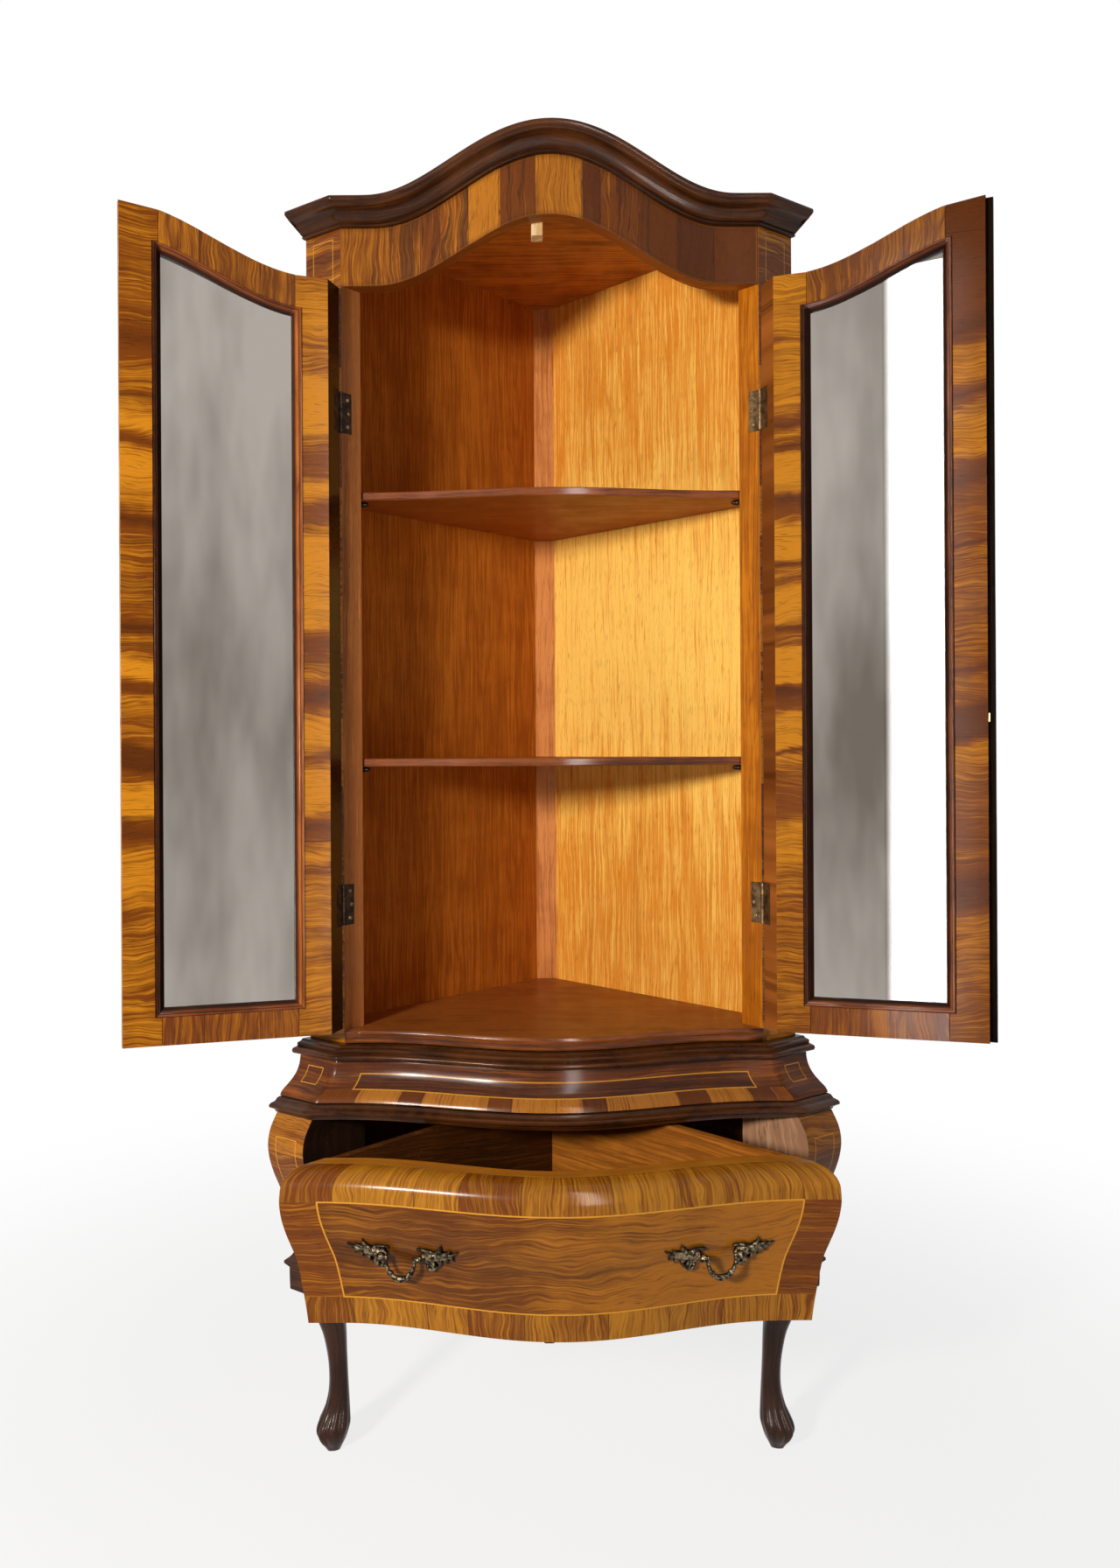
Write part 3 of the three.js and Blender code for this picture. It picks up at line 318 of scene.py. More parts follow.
woods = {
    "veneer": {
        "light": srgb(200, 128, 26), "mid": srgb(116, 58, 10), "dark": srgb(40, 16, 5), "contrast": 0.5,
        "scale": 18.0, "waviness": 0.05, "streaks": 0.85, "fibre": 0.5, "rough": (0.18, 0.36), "coat": 0.14,
    },
    "plain": {
        "light": srgb(255, 206, 110), "mid": srgb(226, 150, 58), "dark": srgb(120, 64, 18), "scale": 30.0,
        "waviness": 0.012, "streaks": 0.12, "contrast": 0.4, "fibre": 0.55, "rough": (0.35, 0.55),
        "coat": 0.05,
    },
    "moulding": {
        "light": srgb(92, 50, 20), "mid": srgb(48, 24, 9), "dark": srgb(16, 7, 3), "scale": 26.0,
        "waviness": 0.02, "streaks": 0.5, "fibre": 0.4, "rough": (0.16, 0.36), "coat": 0.14,
    },
    "leg": {
        "light": srgb(66, 36, 20), "mid": srgb(40, 21, 12), "dark": srgb(14, 8, 5), "scale": 34.0,
        "waviness": 0.02, "streaks": 0.5, "fibre": 0.4, "rough": (0.22, 0.42), "coat": 0.2,
    },
    "inner": {
        "light": srgb(196, 116, 38), "mid": srgb(134, 70, 22), "dark": srgb(60, 26, 9), "scale": 28.0,
        "waviness": 0.012, "streaks": 0.3, "fibre": 0.45, "rough": (0.3, 0.5), "coat": 0.08,
    },
    "back": {
        "light": srgb(178, 130, 80), "mid": srgb(140, 96, 56), "dark": srgb(80, 52, 30), "scale": 26.0,
        "waviness": 0.02, "streaks": 0.25, "fibre": 0.5, "rough": (0.65, 0.85), "coat": 0.0,
    },
    "raw": {
        "light": srgb(240, 212, 164), "mid": srgb(210, 168, 114), "dark": srgb(140, 100, 60), "scale": 60.0,
        "waviness": 0.004, "streaks": 0.15, "fibre": 0.5, "rough": (0.7, 0.9), "coat": 0.0,
    },
    "bead": {
        "light": srgb(140, 74, 34), "mid": srgb(84, 40, 18), "dark": srgb(26, 11, 6), "scale": 40.0,
        "waviness": 0.01, "streaks": 0.5, "fibre": 0.4, "rough": (0.14, 0.3), "coat": 0.3,
    },
    "string": {
        "light": srgb(216, 150, 46), "mid": srgb(178, 110, 28), "dark": srgb(110, 66, 20), "scale": 60.0,
        "waviness": 0.004, "streaks": 0.1, "fibre": 0.4, "rough": (0.3, 0.45), "coat": 0.1,
    },
}


def startMaterial(name):
    material = bpy.data.materials.new(name)
    material.use_nodes = True
    tree = material.node_tree
    tree.nodes.clear()
    shader = tree.nodes.new("ShaderNodeBsdfPrincipled")
    output = tree.nodes.new("ShaderNodeOutputMaterial")
    tree.links.new(shader.outputs[0], output.inputs[0])
    return material, tree, shader, output


figureKeys = ("light", "mid", "dark", "scale", "waviness", "slant", "streaks", "rings", "fibre", "contrast")
polishing = {"marks": 0.35, "coatRoughness": 0.14, "specular": 0.09, "dent": 0.4 * mm}


def figureColor(tree, wood, lay, tone=0.5, **changes):
    spec = {"slant": 0.0, "rings": 0.5, "contrast": 0.6, **woods[wood], **changes}
    feeds = {key.title(): spec[key] for key in figureKeys}
    return useGroup(tree, "figure", {"Lay": lay, "Tone": tone, **feeds})


def mixShaders(tree, output, share, first, second):
    both = place(tree, "ShaderNodeMixShader", {0: share, 1: first.outputs[0], 2: second.outputs[0]})
    tree.links.new(both.outputs[0], output.inputs[0])


def addBump(tree, shader, strength, distance, height):
    dent = place(tree, "ShaderNodeBump", {"Strength": strength, "Distance": distance, "Height": height})
    tree.links.new(dent.outputs[0], shader.inputs["Normal"])


def finishWood(tree, shader, wood, color, height, bump=0.1, wear=None, polish=1.0):
    spec = woods[wood]
    low, high = spec["rough"]
    aged = useGroup(tree, "age", {"Vector": objectSpots(tree), "Dullest": high, "Shiniest": low})
    marked = blendColor(tree, times(tree, aged["Marks"], polishing["marks"]), color, spec["light"])
    if wear is not None:
        marked = blendColor(tree, wear, marked, spec["light"])
    sockets = {
        "Base Color": marked, "Roughness": aged["Roughness"], "Coat Weight": spec["coat"] * polish,
        "Coat Roughness": polishing["coatRoughness"], "Specular IOR Level": polishing["specular"] * polish,
    }
    feed(tree, shader, sockets)
    addBump(tree, shader, bump, polishing["dent"], height)


def darkened(tree, color, mask, gain):  # a seam, or darkening near an edge, in veneer
    return blendColor(tree, times(tree, mask, gain), color, woods["veneer"]["dark"])


def wearMask(tree, amount=0.5):  # worn lighter where the third value of the spot attribute is high
    cloud = noiseAt(tree, objectSpots(tree), 60.0, 4.0, 0.65)
    rubbed = times(tree, split(tree, attribute(tree, "spot"))[2], remap(tree, cloud, 0.36, 0.66))
    return times(tree, rubbed, amount, clamp=True)


def plainWood(name, wood, tone=0.5, bump=0.12, wear=0.0, polish=1.0, **changes):
    # reads the grain attribute
    material, tree, shader, _ = startMaterial(name)
    found = figureColor(tree, wood, attribute(tree, "grain"), tone, **changes)
    rubbed = wearMask(tree, wear) if wear else None
    finishWood(tree, shader, wood, found["Color"], found["Height"], bump, rubbed, polish)
    return material


def dotWith(tree, vector, way):
    terms = {0: vector, 1: way}
    return place(tree, "ShaderNodeVectorMath", terms, operation="DOT_PRODUCT").outputs["Value"]


def boardWood(name, wood, along, across, board=0.0, tone=0.5, outerFaceAndBaseShade=False, bright=None, **changes):
    # reads Object coordinates: the grain runs along one direction
    material, tree, shader, _ = startMaterial(name)
    spots = objectSpots(tree)
    lay = joinVector(tree, dotWith(tree, spots, along), dotWith(tree, spots, across), board)
    parts = split(tree, spots)
    if bright:  # a painted pool of light: height of its brightest part, its reach and its gain
        height, reach, gain = bright
        tone = remap(tree, offFrom(tree, parts[2], height), 0.0, reach, tone + gain, tone)
    found = figureColor(tree, wood, lay, tone, **changes)
    color = found["Color"]
    if outerFaceAndBaseShade:  # the bare outer face of the back panels, and painted shade inside the base
        back = figureColor(tree, "back", lay, tone)
        deep = plus(tree, offFrom(tree, parts[0], origin.x), minus(tree, parts[1], origin.y))
        isOut = calc(tree, "GREATER_THAN", deep, plan["wallSum"] + 3 * mm)
        # painted shade: below the display floor the panels darken to near black
        below = remap(tree, parts[2], 0.53, 0.58, 0.9, 0.0)
        color = blendColor(tree, below, color, woods["leg"]["dark"])
        color = blendColor(tree, isOut, color, back["Color"])
    finishWood(tree, shader, wood, color, found["Height"], 0.12)
    return material


def toneRamp(tree, share, stops, kind="LINEAR"):  # stops of (position, tone)
    ramp = place(tree, "ShaderNodeValToRGB", {0: share})
    ramp.color_ramp.interpolation = kind
    made = ramp.color_ramp.elements
    while len(made) < len(stops):
        made.new(0.5)
    for stop, (position, tone) in zip(made, stops):
        stop.position = position
        stop.color = (tone, tone, tone, 1)
    return place(tree, "ShaderNodeSeparateColor", {0: ramp.outputs[0]}).outputs[0]


def seamMask(tree, at, places, half):  # hair lines at places given in mm
    seam = None
    for x in places:
        near = isBelow(tree, offFrom(tree, at, x * mm), half)
        seam = near if seam is None else larger(tree, seam, near)
    return seam


def patchTable(tree, at, rows, half):  # tone of each patch, and the seams between them, from a table
    stops = [(min(max(x * mm / (2 * half) + 0.5, 0), 1), tone) for x, tone in rows]
    tone = toneRamp(tree, timesPlus(tree, at, 0.5 / half, 0.5), stops, "CONSTANT")
    return tone, seamMask(tree, at, [x for x, _ in rows], 0.45 * mm)


def patchedWood(name, width, seed, lines=(), axis=0, toneSpan=(0.28, 0.75), **changes):
    # cross-banded veneer: patches follow one value of the spot attribute
    material, tree, shader, _ = startMaterial(name)
    along, across, board = split(tree, attribute(tree, "grain"))
    spot = attribute(tree, "spot")
    patch = useGroup(tree, "patches", {"Along": split(tree, spot)[axis], "Width": width, "Seed": seed})
    lay = joinVector(tree, along, across, plus(tree, board, patch["Board"]))
    found = figureColor(tree, "veneer", lay, remap(tree, patch["Tone"], 0.0, 1.0, *toneSpan), **changes)
    color = darkened(tree, found["Color"], patch["Seam"], 0.7)
    for line in lines:
        drawn = useGroup(tree, "stringing", {"Spot": spot, **line})
        color = blendColor(tree, times(tree, drawn["Line"], 0.85), color, woods["string"]["light"])
    finishWood(tree, shader, "veneer", color, found["Height"])
    return material


def newObject(name, data):
    made = bpy.data.objects.new(name, data)
    bpy.context.scene.collection.objects.link(made)
    return made


def smoothed(mesh, angle):
    mesh.polygons.foreach_set("use_smooth", [True] * len(mesh.polygons))
    mesh.set_sharp_from_angle(angle=math.radians(angle))


def finishMesh(name, bm, materials, smooth=32):
    mesh = bpy.data.meshes.new(name)
    bm.to_mesh(mesh)
    bm.free()
    for material in materials:
        mesh.materials.append(material)
    smoothed(mesh, smooth)
    return newObject(name, mesh)


def layers(bm):
    return bm.loops.layers.float_vector.new("grain"), bm.loops.layers.float_vector.new("spot")


def bevelled(piece, width):
    bevel = piece.modifiers.new("eased edges", "BEVEL")
    bevel.width = width
    bevel.segments = 2
    bevel.limit_method = "WEIGHT"
    bevel.use_clamp_overlap = False
    shading = piece.modifiers.new("even shading", "WEIGHTED_NORMAL")
    shading.keep_sharp = True
    return piece


def copyNode(node, name, materials, paint, bevel=0.5 * mm, smooth=32, least=9 * mm):
    # a solid with its longer sharp edges eased; paint gives grain, spot and material of a face's corner
    bm = bmesh.new()
    bm.from_mesh(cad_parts[node].data)
    bmesh.ops.remove_doubles(bm, verts=bm.verts, dist=2e-6)
    bmesh.ops.dissolve_limit(bm, angle_limit=math.radians(0.2), verts=bm.verts, edges=bm.edges)
    bm.normal_update()
    weight = bm.edges.layers.float.new("bevel_weight_edge")
    for edge in bm.edges:
        sharp = len(edge.link_faces) == 2 and edge.calc_face_angle(0) > math.radians(30)
        edge[weight] = 1.0 if sharp and edge.calc_length() > least else 0.0
    grain, spot = layers(bm)
    for face in bm.faces:
        for loop in face.loops:
            loop[grain], loop[spot], face.material_index = paint(loop.vert.co, face)
    return bevelled(finishMesh(name, bm, materials, smooth), bevel)


def loft(name, rows, layAt, materials, matAt=None, ring=False, smooth=32):
    # rows of closed rings of points; layAt(i, j) gives the grain and spot values of ring i, point j
    bm = bmesh.new()
    grain, spot = layers(bm)
    verts = [[bm.verts.new(point) for point in row] for row in rows]
    count = len(rows[0])
    for i in range(len(rows) if ring else len(rows) - 1):
        ahead = (i + 1) % len(rows)
        for j in range(count):
            k = (j + 1) % count
            face = bm.faces.new((verts[i][j], verts[ahead][j], verts[ahead][k], verts[i][k]))
            for loop, (p, q) in zip(face.loops, ((i, j), (i + 1, j), (i + 1, j + 1), (i, j + 1))):
                loop[grain], loop[spot] = layAt(p, q)
            face.material_index = matAt(i, j) if matAt else 0
    if not ring:
        for i in (0, len(rows) - 1):
            face = bm.faces.new(verts[i])
            for j, loop in enumerate(face.loops):
                loop[grain], loop[spot] = layAt(i, j)
            face.material_index = matAt(i, 0) if matAt else 0
    bmesh.ops.remove_doubles(bm, verts=bm.verts, dist=1e-6)
    bmesh.ops.recalc_face_normals(bm, faces=bm.faces)
    return finishMesh(name, bm, materials, smooth)


def atPlan(x, y, z):
    return origin + Vector((x, y, z))


def keep(piece, body, slot, *nodes):
    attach(piece, body)
    if nodes:
        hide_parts(*nodes)
    return piece


def dress(node, material):  # a solid of the frame shown as it is
    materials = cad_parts[node].data.materials
    materials.clear()
    materials.append(material)


def angleAt(j, count):
    return 2 * math.pi * j / count


def curveAt(tree, value, points):  # a Float Curve through points of (at, value, sharp)
    node = place(tree, "ShaderNodeFloatCurve", {"Value": value})
    curve = node.mapping.curves[0]
    curve.points[0].location = points[0][:2]
    curve.points[-1].location = points[-1][:2]
    for at, level, _ in points[1:-1]:
        curve.points.new(at, level)
    for point, (_, _, sharp) in zip(curve.points, points):
        point.handle_type = "VECTOR" if sharp else "AUTO"
    node.mapping.update()
    return node.outputs[0]


def profileTables(face, reach, height):  # a section of (out, up, sharp) shares as curves over its length
    closed = [(0.0, 0.0, 1), *face, (0.0, 1.0, 1), (0.0, 0.0, 1)]
    run = [0.0]
    for (a0, b0, _), (a1, b1, _) in zip(closed, closed[1:]):
        run.append(run[-1] + math.hypot((a1 - a0) * reach, (b1 - b0) * height))
    places = [at / run[-1] for at in run]
    out = [(at, p[0], p[2]) for at, p in zip(places, closed)]
    up = [(at, p[1], p[2]) for at, p in zip(places, closed)]
    return out, up, run[-1]


def realMesh(tree, geometry, material):  # the two nodes that every grown piece ends in
    real = place(tree, "GeometryNodeRealizeInstances", {"Geometry": geometry}).outputs[0]
    return place(tree, "GeometryNodeSetMaterial", {"Geometry": real, "Material": material}).outputs[0]


def mouldingTree(name, face, wear, reach, height):
    out, up, length = profileTables(face, reach, height)
    tree = bpy.data.node_groups.new(name, "GeometryNodeTree")
    sizes = {
        "Half Front": plan["halfFront"], "Cant Run": plan["cantRun"], "Cant Depth": plan["cantDepth"],
        "Bow": plan["bow"], "Bow Share": plan["bowShare"], "Arch Share": plan["archShare"],
        "Arch Rise": 0.0, "Reach": reach, "Bottom": 0.0, "Height": height, "Spread": 1.0, "Tip Spread": 1.0,
        "Front Steps": 144.0, "Cant Steps": 6.0, "Profile Steps": 48.0,
    }
    for label, value in sizes.items():
        addSocket(tree, label, "Float", value)
    addSocket(tree, "Origin", "Vector")
    addSocket(tree, "Material", "Material")
    addSocket(tree, "Geometry", "Geometry", way="OUTPUT")
    given, final = treeEnds(tree)
    steps = timesPlus(tree, given["Cant Steps"], 2.0, plus(tree, given["Front Steps"], 2.0))
    counts = {"Vertices X": plus(tree, steps, 1.0), "Vertices Y": plus(tree, given["Profile Steps"], 1.0)}
    grid = place(tree, "GeometryNodeMeshGrid", {"Size X": 2.0, "Size Y": 1.0, **counts})
    at = split(tree, tree.nodes.new("GeometryNodeInputPosition").outputs[0])
    s = divide(tree, times(tree, at[0], steps), given["Front Steps"])
    far = absolute(tree, s)
    past = larger(tree, minus(tree, far, 1.0), 0.0)
    k = times(tree, divide(tree, times(tree, past, given["Front Steps"]), given["Cant Steps"]), 0.5)
    inCap = calc(tree, "GREATER_THAN", k, 1.001)
    k = calc(tree, "MINIMUM", k, 1.0)
    side = calc(tree, "SIGN", s)
    share = times(tree, side, calc(tree, "MINIMUM", far, 1.0))
    t = times(tree, plus(tree, at[1], 0.5), minus(tree, 1.0, inCap), clamp=True)
    outShare, upShare, worn = (curveAt(tree, t, points) for points in (out, up, wear))
    reached = timesPlus(tree, outShare, given["Reach"], plan["gap"])

    def humpOf(shareSocket):
        along = calc(tree, "MINIMUM", divide(tree, absolute(tree, share), shareSocket), 1.0)
        turn = times(tree, along, math.pi)
        return timesPlus(tree, calc(tree, "COSINE", turn), 0.5, 0.5), calc(tree, "SINE", turn)

    bowHump, _ = humpOf(given["Bow Share"])
    archHump, archSine = humpOf(given["Arch Share"])
    span = times(tree, given["Half Front"], given["Arch Share"])
    slope = times(tree, divide(tree, times(tree, given["Arch Rise"], archSine), span), math.pi / 2)
    stretch = calc(tree, "SQRT", timesPlus(tree, slope, slope, 1.0))
    rise = times(tree, times(tree, upShare, given["Height"]), stretch)
    z = plus(tree, given["Bottom"], timesPlus(tree, given["Arch Rise"], archHump, rise))
    cornerX = times(tree, share, timesPlus(tree, reached, given["Spread"], given["Half Front"]))
    cornerY = minus(tree, times(tree, bowHump, times(tree, given["Bow"], -1.0)), reached)
    tipOut = times(tree, reached, given["Tip Spread"])
    tipX = times(tree, plus(tree, plus(tree, given["Half Front"], given["Cant Run"]), tipOut), side)
    tipY = minus(tree, given["Cant Depth"], tipOut)
    x = timesPlus(tree, minus(tree, tipX, cornerX), k, cornerX)
    y = timesPlus(tree, minus(tree, tipY, cornerY), k, cornerY)
    a = timesPlus(tree, times(tree, side, k), cantLength, times(tree, share, given["Half Front"]))
    b = times(tree, t, length)
    run = grid.outputs[0]
    for label, third in (("grain", 0.0), ("spot", worn)):
        feeds = {"Geometry": run, "Name": label, "Value": joinVector(tree, a, b, third)}
        kinds = {"data_type": "FLOAT_VECTOR", "domain": "POINT"}
        run = place(tree, "GeometryNodeStoreNamedAttribute", feeds, **kinds).outputs[0]
    terms = {0: joinVector(tree, x, y, z), 1: given["Origin"]}
    moved = place(tree, "ShaderNodeVectorMath", terms, operation="ADD").outputs[0]
    run = place(tree, "GeometryNodeSetPosition", {"Geometry": run, "Position": moved}).outputs[0]
    run = place(tree, "GeometryNodeMergeByDistance", {"Geometry": run, "Distance": 1e-6}).outputs[0]
    feed(tree, final, {"Geometry": realMesh(tree, run, given["Material"])})
    return tree


def grow(name, mesh, tree, values):  # sets a tree's inputs, and keeps its result as a plain mesh
    piece = newObject(name, mesh)
    modifier = piece.modifiers.new("grown", "NODES")
    modifier.node_group = tree
    ids = {item.name: item.identifier for item in tree.interface.items_tree if item.in_out == "INPUT"}
    for label, value in values.items():
        modifier[ids[label]] = value
    graph = bpy.context.evaluated_depsgraph_get()
    result = bpy.data.meshes.new_from_object(piece.evaluated_get(graph))
    piece.modifiers.remove(modifier)
    piece.data = result
    result.name = name
    return piece


def growRun(name, tree, values):  # a moulding, with its seams closed
    piece = grow(name, bpy.data.meshes.new(name), tree, values)
    bm = bmesh.new()
    bm.from_mesh(piece.data)
    bmesh.ops.remove_doubles(bm, verts=bm.verts, dist=2e-6)
    bmesh.ops.recalc_face_normals(bm, faces=bm.faces)
    bm.to_mesh(piece.data)
    bm.free()
    smoothed(piece.data, 38)
    return piece


cantAngle = math.atan2(plan["cantDepth"], plan["cantRun"])
cantLength = math.hypot(plan["cantRun"], plan["cantDepth"])
cantDir = Vector((plan["cantRun"], plan["cantDepth"], 0)) / cantLength
mitreSpread = math.tan(cantAngle / 2)
mitreTip = 1 / (math.sin(cantAngle) + math.cos(cantAngle))


def moulding(name, spec, material, mitred, archRise=0.0):
    wear = [(at, value, 0) for at, value in spec.get("wear", ((0, 0), (1, 0)))]
    tree = mouldingTree(name + " section", spec["face"], wear, spec["reach"], spec["height"])
    values = {
        "Bottom": spec["bottom"],
        "Arch Rise": archRise,
        "Spread": mitreSpread if mitred else 1.0,
        "Tip Spread": mitreTip if mitred else 1.0,
        "Origin": origin,
        "Material": material,
    }
    return growRun(name, tree, values)


print("helpers ready")

cornice = {
    "bottom": 1836.15 * mm,
    "height": 33.7 * mm,
    "reach": 38 * mm,
    "face": [
        (0.1, 0, 1), (0.14, 0.01, 0), (0.19, 0.06, 0), (0.14, 0.12, 0), (0.12, 0.14, 1), (0.2, 0.16, 0),
        (0.33, 0.27, 0), (0.43, 0.42, 0), (0.56, 0.54, 0), (0.75, 0.61, 0), (0.84, 0.63, 1),
        (0.84, 0.71, 1), (0.93, 0.74, 0), (0.99, 0.82, 0), (0.99, 0.91, 0), (0.93, 0.98, 0), (0.84, 1, 1),
    ],
    "wear": ((0, 0), (0.3, 0.1), (0.42, 0.2), (0.5, 1), (0.56, 0.5), (0.62, 0), (1, 0)),
}
shoulder = {
    "bottom": 598.15 * mm,
    "height": 21.7 * mm,
    "reach": 33 * mm,
    "face": [
        (0.4, 0, 1), (0.52, 0.02, 0), (0.8, 0.08, 0), (0.96, 0.2, 0), (0.98, 0.36, 0), (0.88, 0.49, 0),
        (0.74, 0.54, 1), (0.66, 0.6, 1), (0.7, 0.68, 0), (0.68, 0.78, 0), (0.58, 0.84, 0), (0.5, 0.86, 1),
        (0.46, 0.92, 0), (0.42, 1, 1),
    ],
    "wear": ((0, 0), (0.2, 0.1), (0.34, 0.8), (0.5, 0.1), (0.6, 0.5), (0.7, 0), (1, 0)),
}
belt = {
    "bottom": 518.15 * mm,
    "height": 22.7 * mm,
    "reach": 52.5 * mm,
    "face": [
        (0.8, 0, 1), (0.83, 0.05, 0), (0.85, 0.15, 0), (0.84, 0.22, 1), (0.88, 0.23, 1), (0.88, 0.32, 1),
        (0.92, 0.34, 0), (0.98, 0.42, 0), (1, 0.54, 0), (0.97, 0.66, 0), (0.9, 0.74, 0), (0.83, 0.78, 1),
        (0.82, 0.9, 0), (0.77, 1, 1),
    ],
    "wear": ((0, 0), (0.35, 0.1), (0.47, 0.7), (0.55, 0.2), (0.6, 0), (1, 0)),
}
apron = {
    "bottom": 245.15 * mm,
    "height": 54.7 * mm,
    "reach": 35 * mm,
    "face": [
        (0.7, 0, 1), (0.76, 0.02, 0), (0.78, 0.2, 0), (0.79, 0.45, 0), (0.8, 0.7, 0), (0.81, 0.74, 1),
        (0.86, 0.75, 1), (0.95, 0.78, 0), (1, 0.84, 0), (0.96, 0.89, 0), (0.88, 0.905, 1), (0.8, 0.92, 0),
        (0.72, 0.95, 0), (0.66, 1, 1),
    ],
    "wear": ((0, 0), (0.4, 0.1), (0.52, 0.7), (0.6, 0), (1, 0)),
}
waist = {
    "bottom": 541.15 * mm,
    "height": 56.7 * mm,
    "reach": 38.5 * mm,
    "face": [
        (1, 0, 1), (0.985, 0.05, 0), (0.93, 0.13, 0), (0.74, 0.27, 0), (0.54, 0.44, 0), (0.42, 0.6, 0),
        (0.35, 0.78, 0), (0.32, 1, 1),
    ],
}
mouldingWood = plainWood("dark moulding", "moulding", wear=0.75)
for name, spec, mitred, rise in (
    ("cornice", cornice, True, plan["archRise"]),
    ("shoulder_moulding", shoulder, True, 0.0),
    ("belt_moulding", belt, False, 0.0),
    ("apron", apron, False, 0.0),
):
    keep(moulding(f"{name}_run", spec, mouldingWood, mitred, rise), "carcass", "dark_wood", name)

waistBand = {
    "patches": [
        (-312, 0.2), (-262, 0.8), (-207, 0.15), (-174, 0.78), (-90, 0.2), (-58, 0.72), (33, 0.1),
        (64, 0.75), (160, 0.15), (202, 0.7), (256, 0.1), (288, 0.3), (312, 0.3),
    ],
    "top": 60 * mm,
    "reach": 310 * mm,
    "panel": {"Middle B": 71.5 * mm, "Half A": 273 * mm, "Half B": 11.5 * mm, "Line": 1.7 * mm},
    "ends": {
        "Middle A": 349 * mm, "Middle B": 76 * mm, "Half A": 15 * mm, "Half B": 12 * mm, "Line": 1.4 * mm,
    },
}


def waistVeneer():  # a dark panel outlined over a cross-banded strip, on plain reddish veneer
    material, tree, shader, _ = startMaterial("waist veneer")
    spot = attribute(tree, "spot")
    at = split(tree, spot)
    ground = figureColor(
        tree, "veneer", joinVector(tree, at[0], at[1], 1.3), 0.4, scale=46.0, waviness=0.02, streaks=0.4,
        light=srgb(150, 82, 28), mid=srgb(84, 40, 14),
    )
    tone, seam = patchTable(tree, at[0], waistBand["patches"], plan["halfFront"])
    bandLay = joinVector(tree, at[1], at[0], times(tree, tone, 19.0))
    band = figureColor(
        tree, "veneer", bandLay, tone, scale=40.0, streaks=0.3, waviness=0.01, light=srgb(176, 110, 36)
    )
    panel = useGroup(tree, "stringing", {"Spot": spot, **waistBand["panel"]})
    inner = figureColor(
        tree, "veneer", joinVector(tree, at[0], at[1], 5.0), 0.4, scale=60.0, waviness=0.01, streaks=0.6,
        light=srgb(112, 58, 22), mid=srgb(64, 30, 12),
    )
    far = absolute(tree, at[0])
    ends = useGroup(tree, "stringing", {"Spot": joinVector(tree, far, at[1], 0.0), **waistBand["ends"]})
    low = times(tree, isBelow(tree, at[1], waistBand["top"]), isBelow(tree, far, waistBand["reach"]))
    color = blendColor(tree, low, ground["Color"], darkened(tree, band["Color"], seam, 0.6))
    color = blendColor(tree, panel["Inside"], color, inner["Color"])
    lines = times(tree, larger(tree, panel["Line"], ends["Line"]), 0.85)
    color = blendColor(tree, lines, color, woods["string"]["light"])
    finishWood(tree, shader, "veneer", color, ground["Height"])
    return material


keep(moulding("waist_run", waist, waistVeneer(), False), "carcass", "veneer", "waist")
print("mouldings grown")

frieze = {
    "patches": [
        (-312, 0.42), (-192, 0.3), (-163, 0.42), (-120, 0.74), (-75, 0.2), (-22, 0.62), (45, 0.1),
        (73, 0.26), (130, 0.16), (189, 0.05), (245, 0.12), (312, 0.2),
    ],
    "edge": 1750 * mm,
    "line": 1.6 * mm,
    "middle": 43 * mm,
}


def friezeEdge(x):
    return frieze["edge"] + plan["archRise"] * hump(x, plan["archShare"])


def paintFrieze(co, face):
    x, y, z = co - origin
    up = z - friezeEdge(x)
    if face.normal.y < -0.4:
        return (z, x, 0), (x, up, 0), 0
    if face.normal.z < -0.3:
        return (x, y, 3), (x, y, 0), 1
    return (x, z, 5), (x, up, 0), 2


def friezeVeneer():
    material, tree, shader, _ = startMaterial("frieze veneer")
    grain = split(tree, attribute(tree, "grain"))
    spot = attribute(tree, "spot")
    at = split(tree, spot)
    tone, seam = patchTable(tree, at[0], frieze["patches"], plan["halfFront"])
    found = figureColor(
        tree, "veneer", joinVector(tree, grain[0], grain[1], times(tree, tone, 17.0)), tone, scale=24.0,
        streaks=0.6, rings=0.0, contrast=0.3, fibre=0.6, light=srgb(184, 114, 28),
    )
    color = darkened(tree, found["Color"], seam, 0.75)
    line = {"Middle B": frieze["middle"], "Half A": 309 * mm, "Half B": 41 * mm, "Line": frieze["line"]}
    drawn = useGroup(tree, "stringing", {"Spot": spot, **line})
    color = blendColor(tree, times(tree, drawn["Line"], 0.3), color, woods["string"]["mid"])
    # darker near the top and bottom edges
    darkerNearEdges = remap(tree, offFrom(tree, at[1], frieze["middle"]), 34 * mm, 44 * mm)
    finishWood(tree, shader, "veneer", darkened(tree, color, darkerNearEdges, 0.4), found["Height"])
    return material


soffitWood = plainWood("soffit edge", "inner", tone=0.3)
insideWood = plainWood("inside face", "inner")
piece = copyNode("frieze", "frieze_board", [friezeVeneer(), soffitWood, insideWood], paintFrieze)
keep(piece, "carcass", "veneer", "frieze")


def paintStile(co, face):
    x, y, z = co - origin
    side = 1 if x > 0 else -1
    out = Vector((face.normal.x * side, face.normal.y, face.normal.z))
    along = (abs(x) - plan["halfFront"]) * cantDir.x + y * cantDir.y
    if out.x > 0.3 and out.y < -0.5:  # the canted face
        return (along, z, side), (along - cantLength / 2, z, 0), 0
    if out.x < -0.2 and out.y > 0.2:  # towards the inside
        return (z, along, side + 4), (0, 0, 0), 1
    return (z, abs(x) - y, side + 7), (0, 0, 0), 2


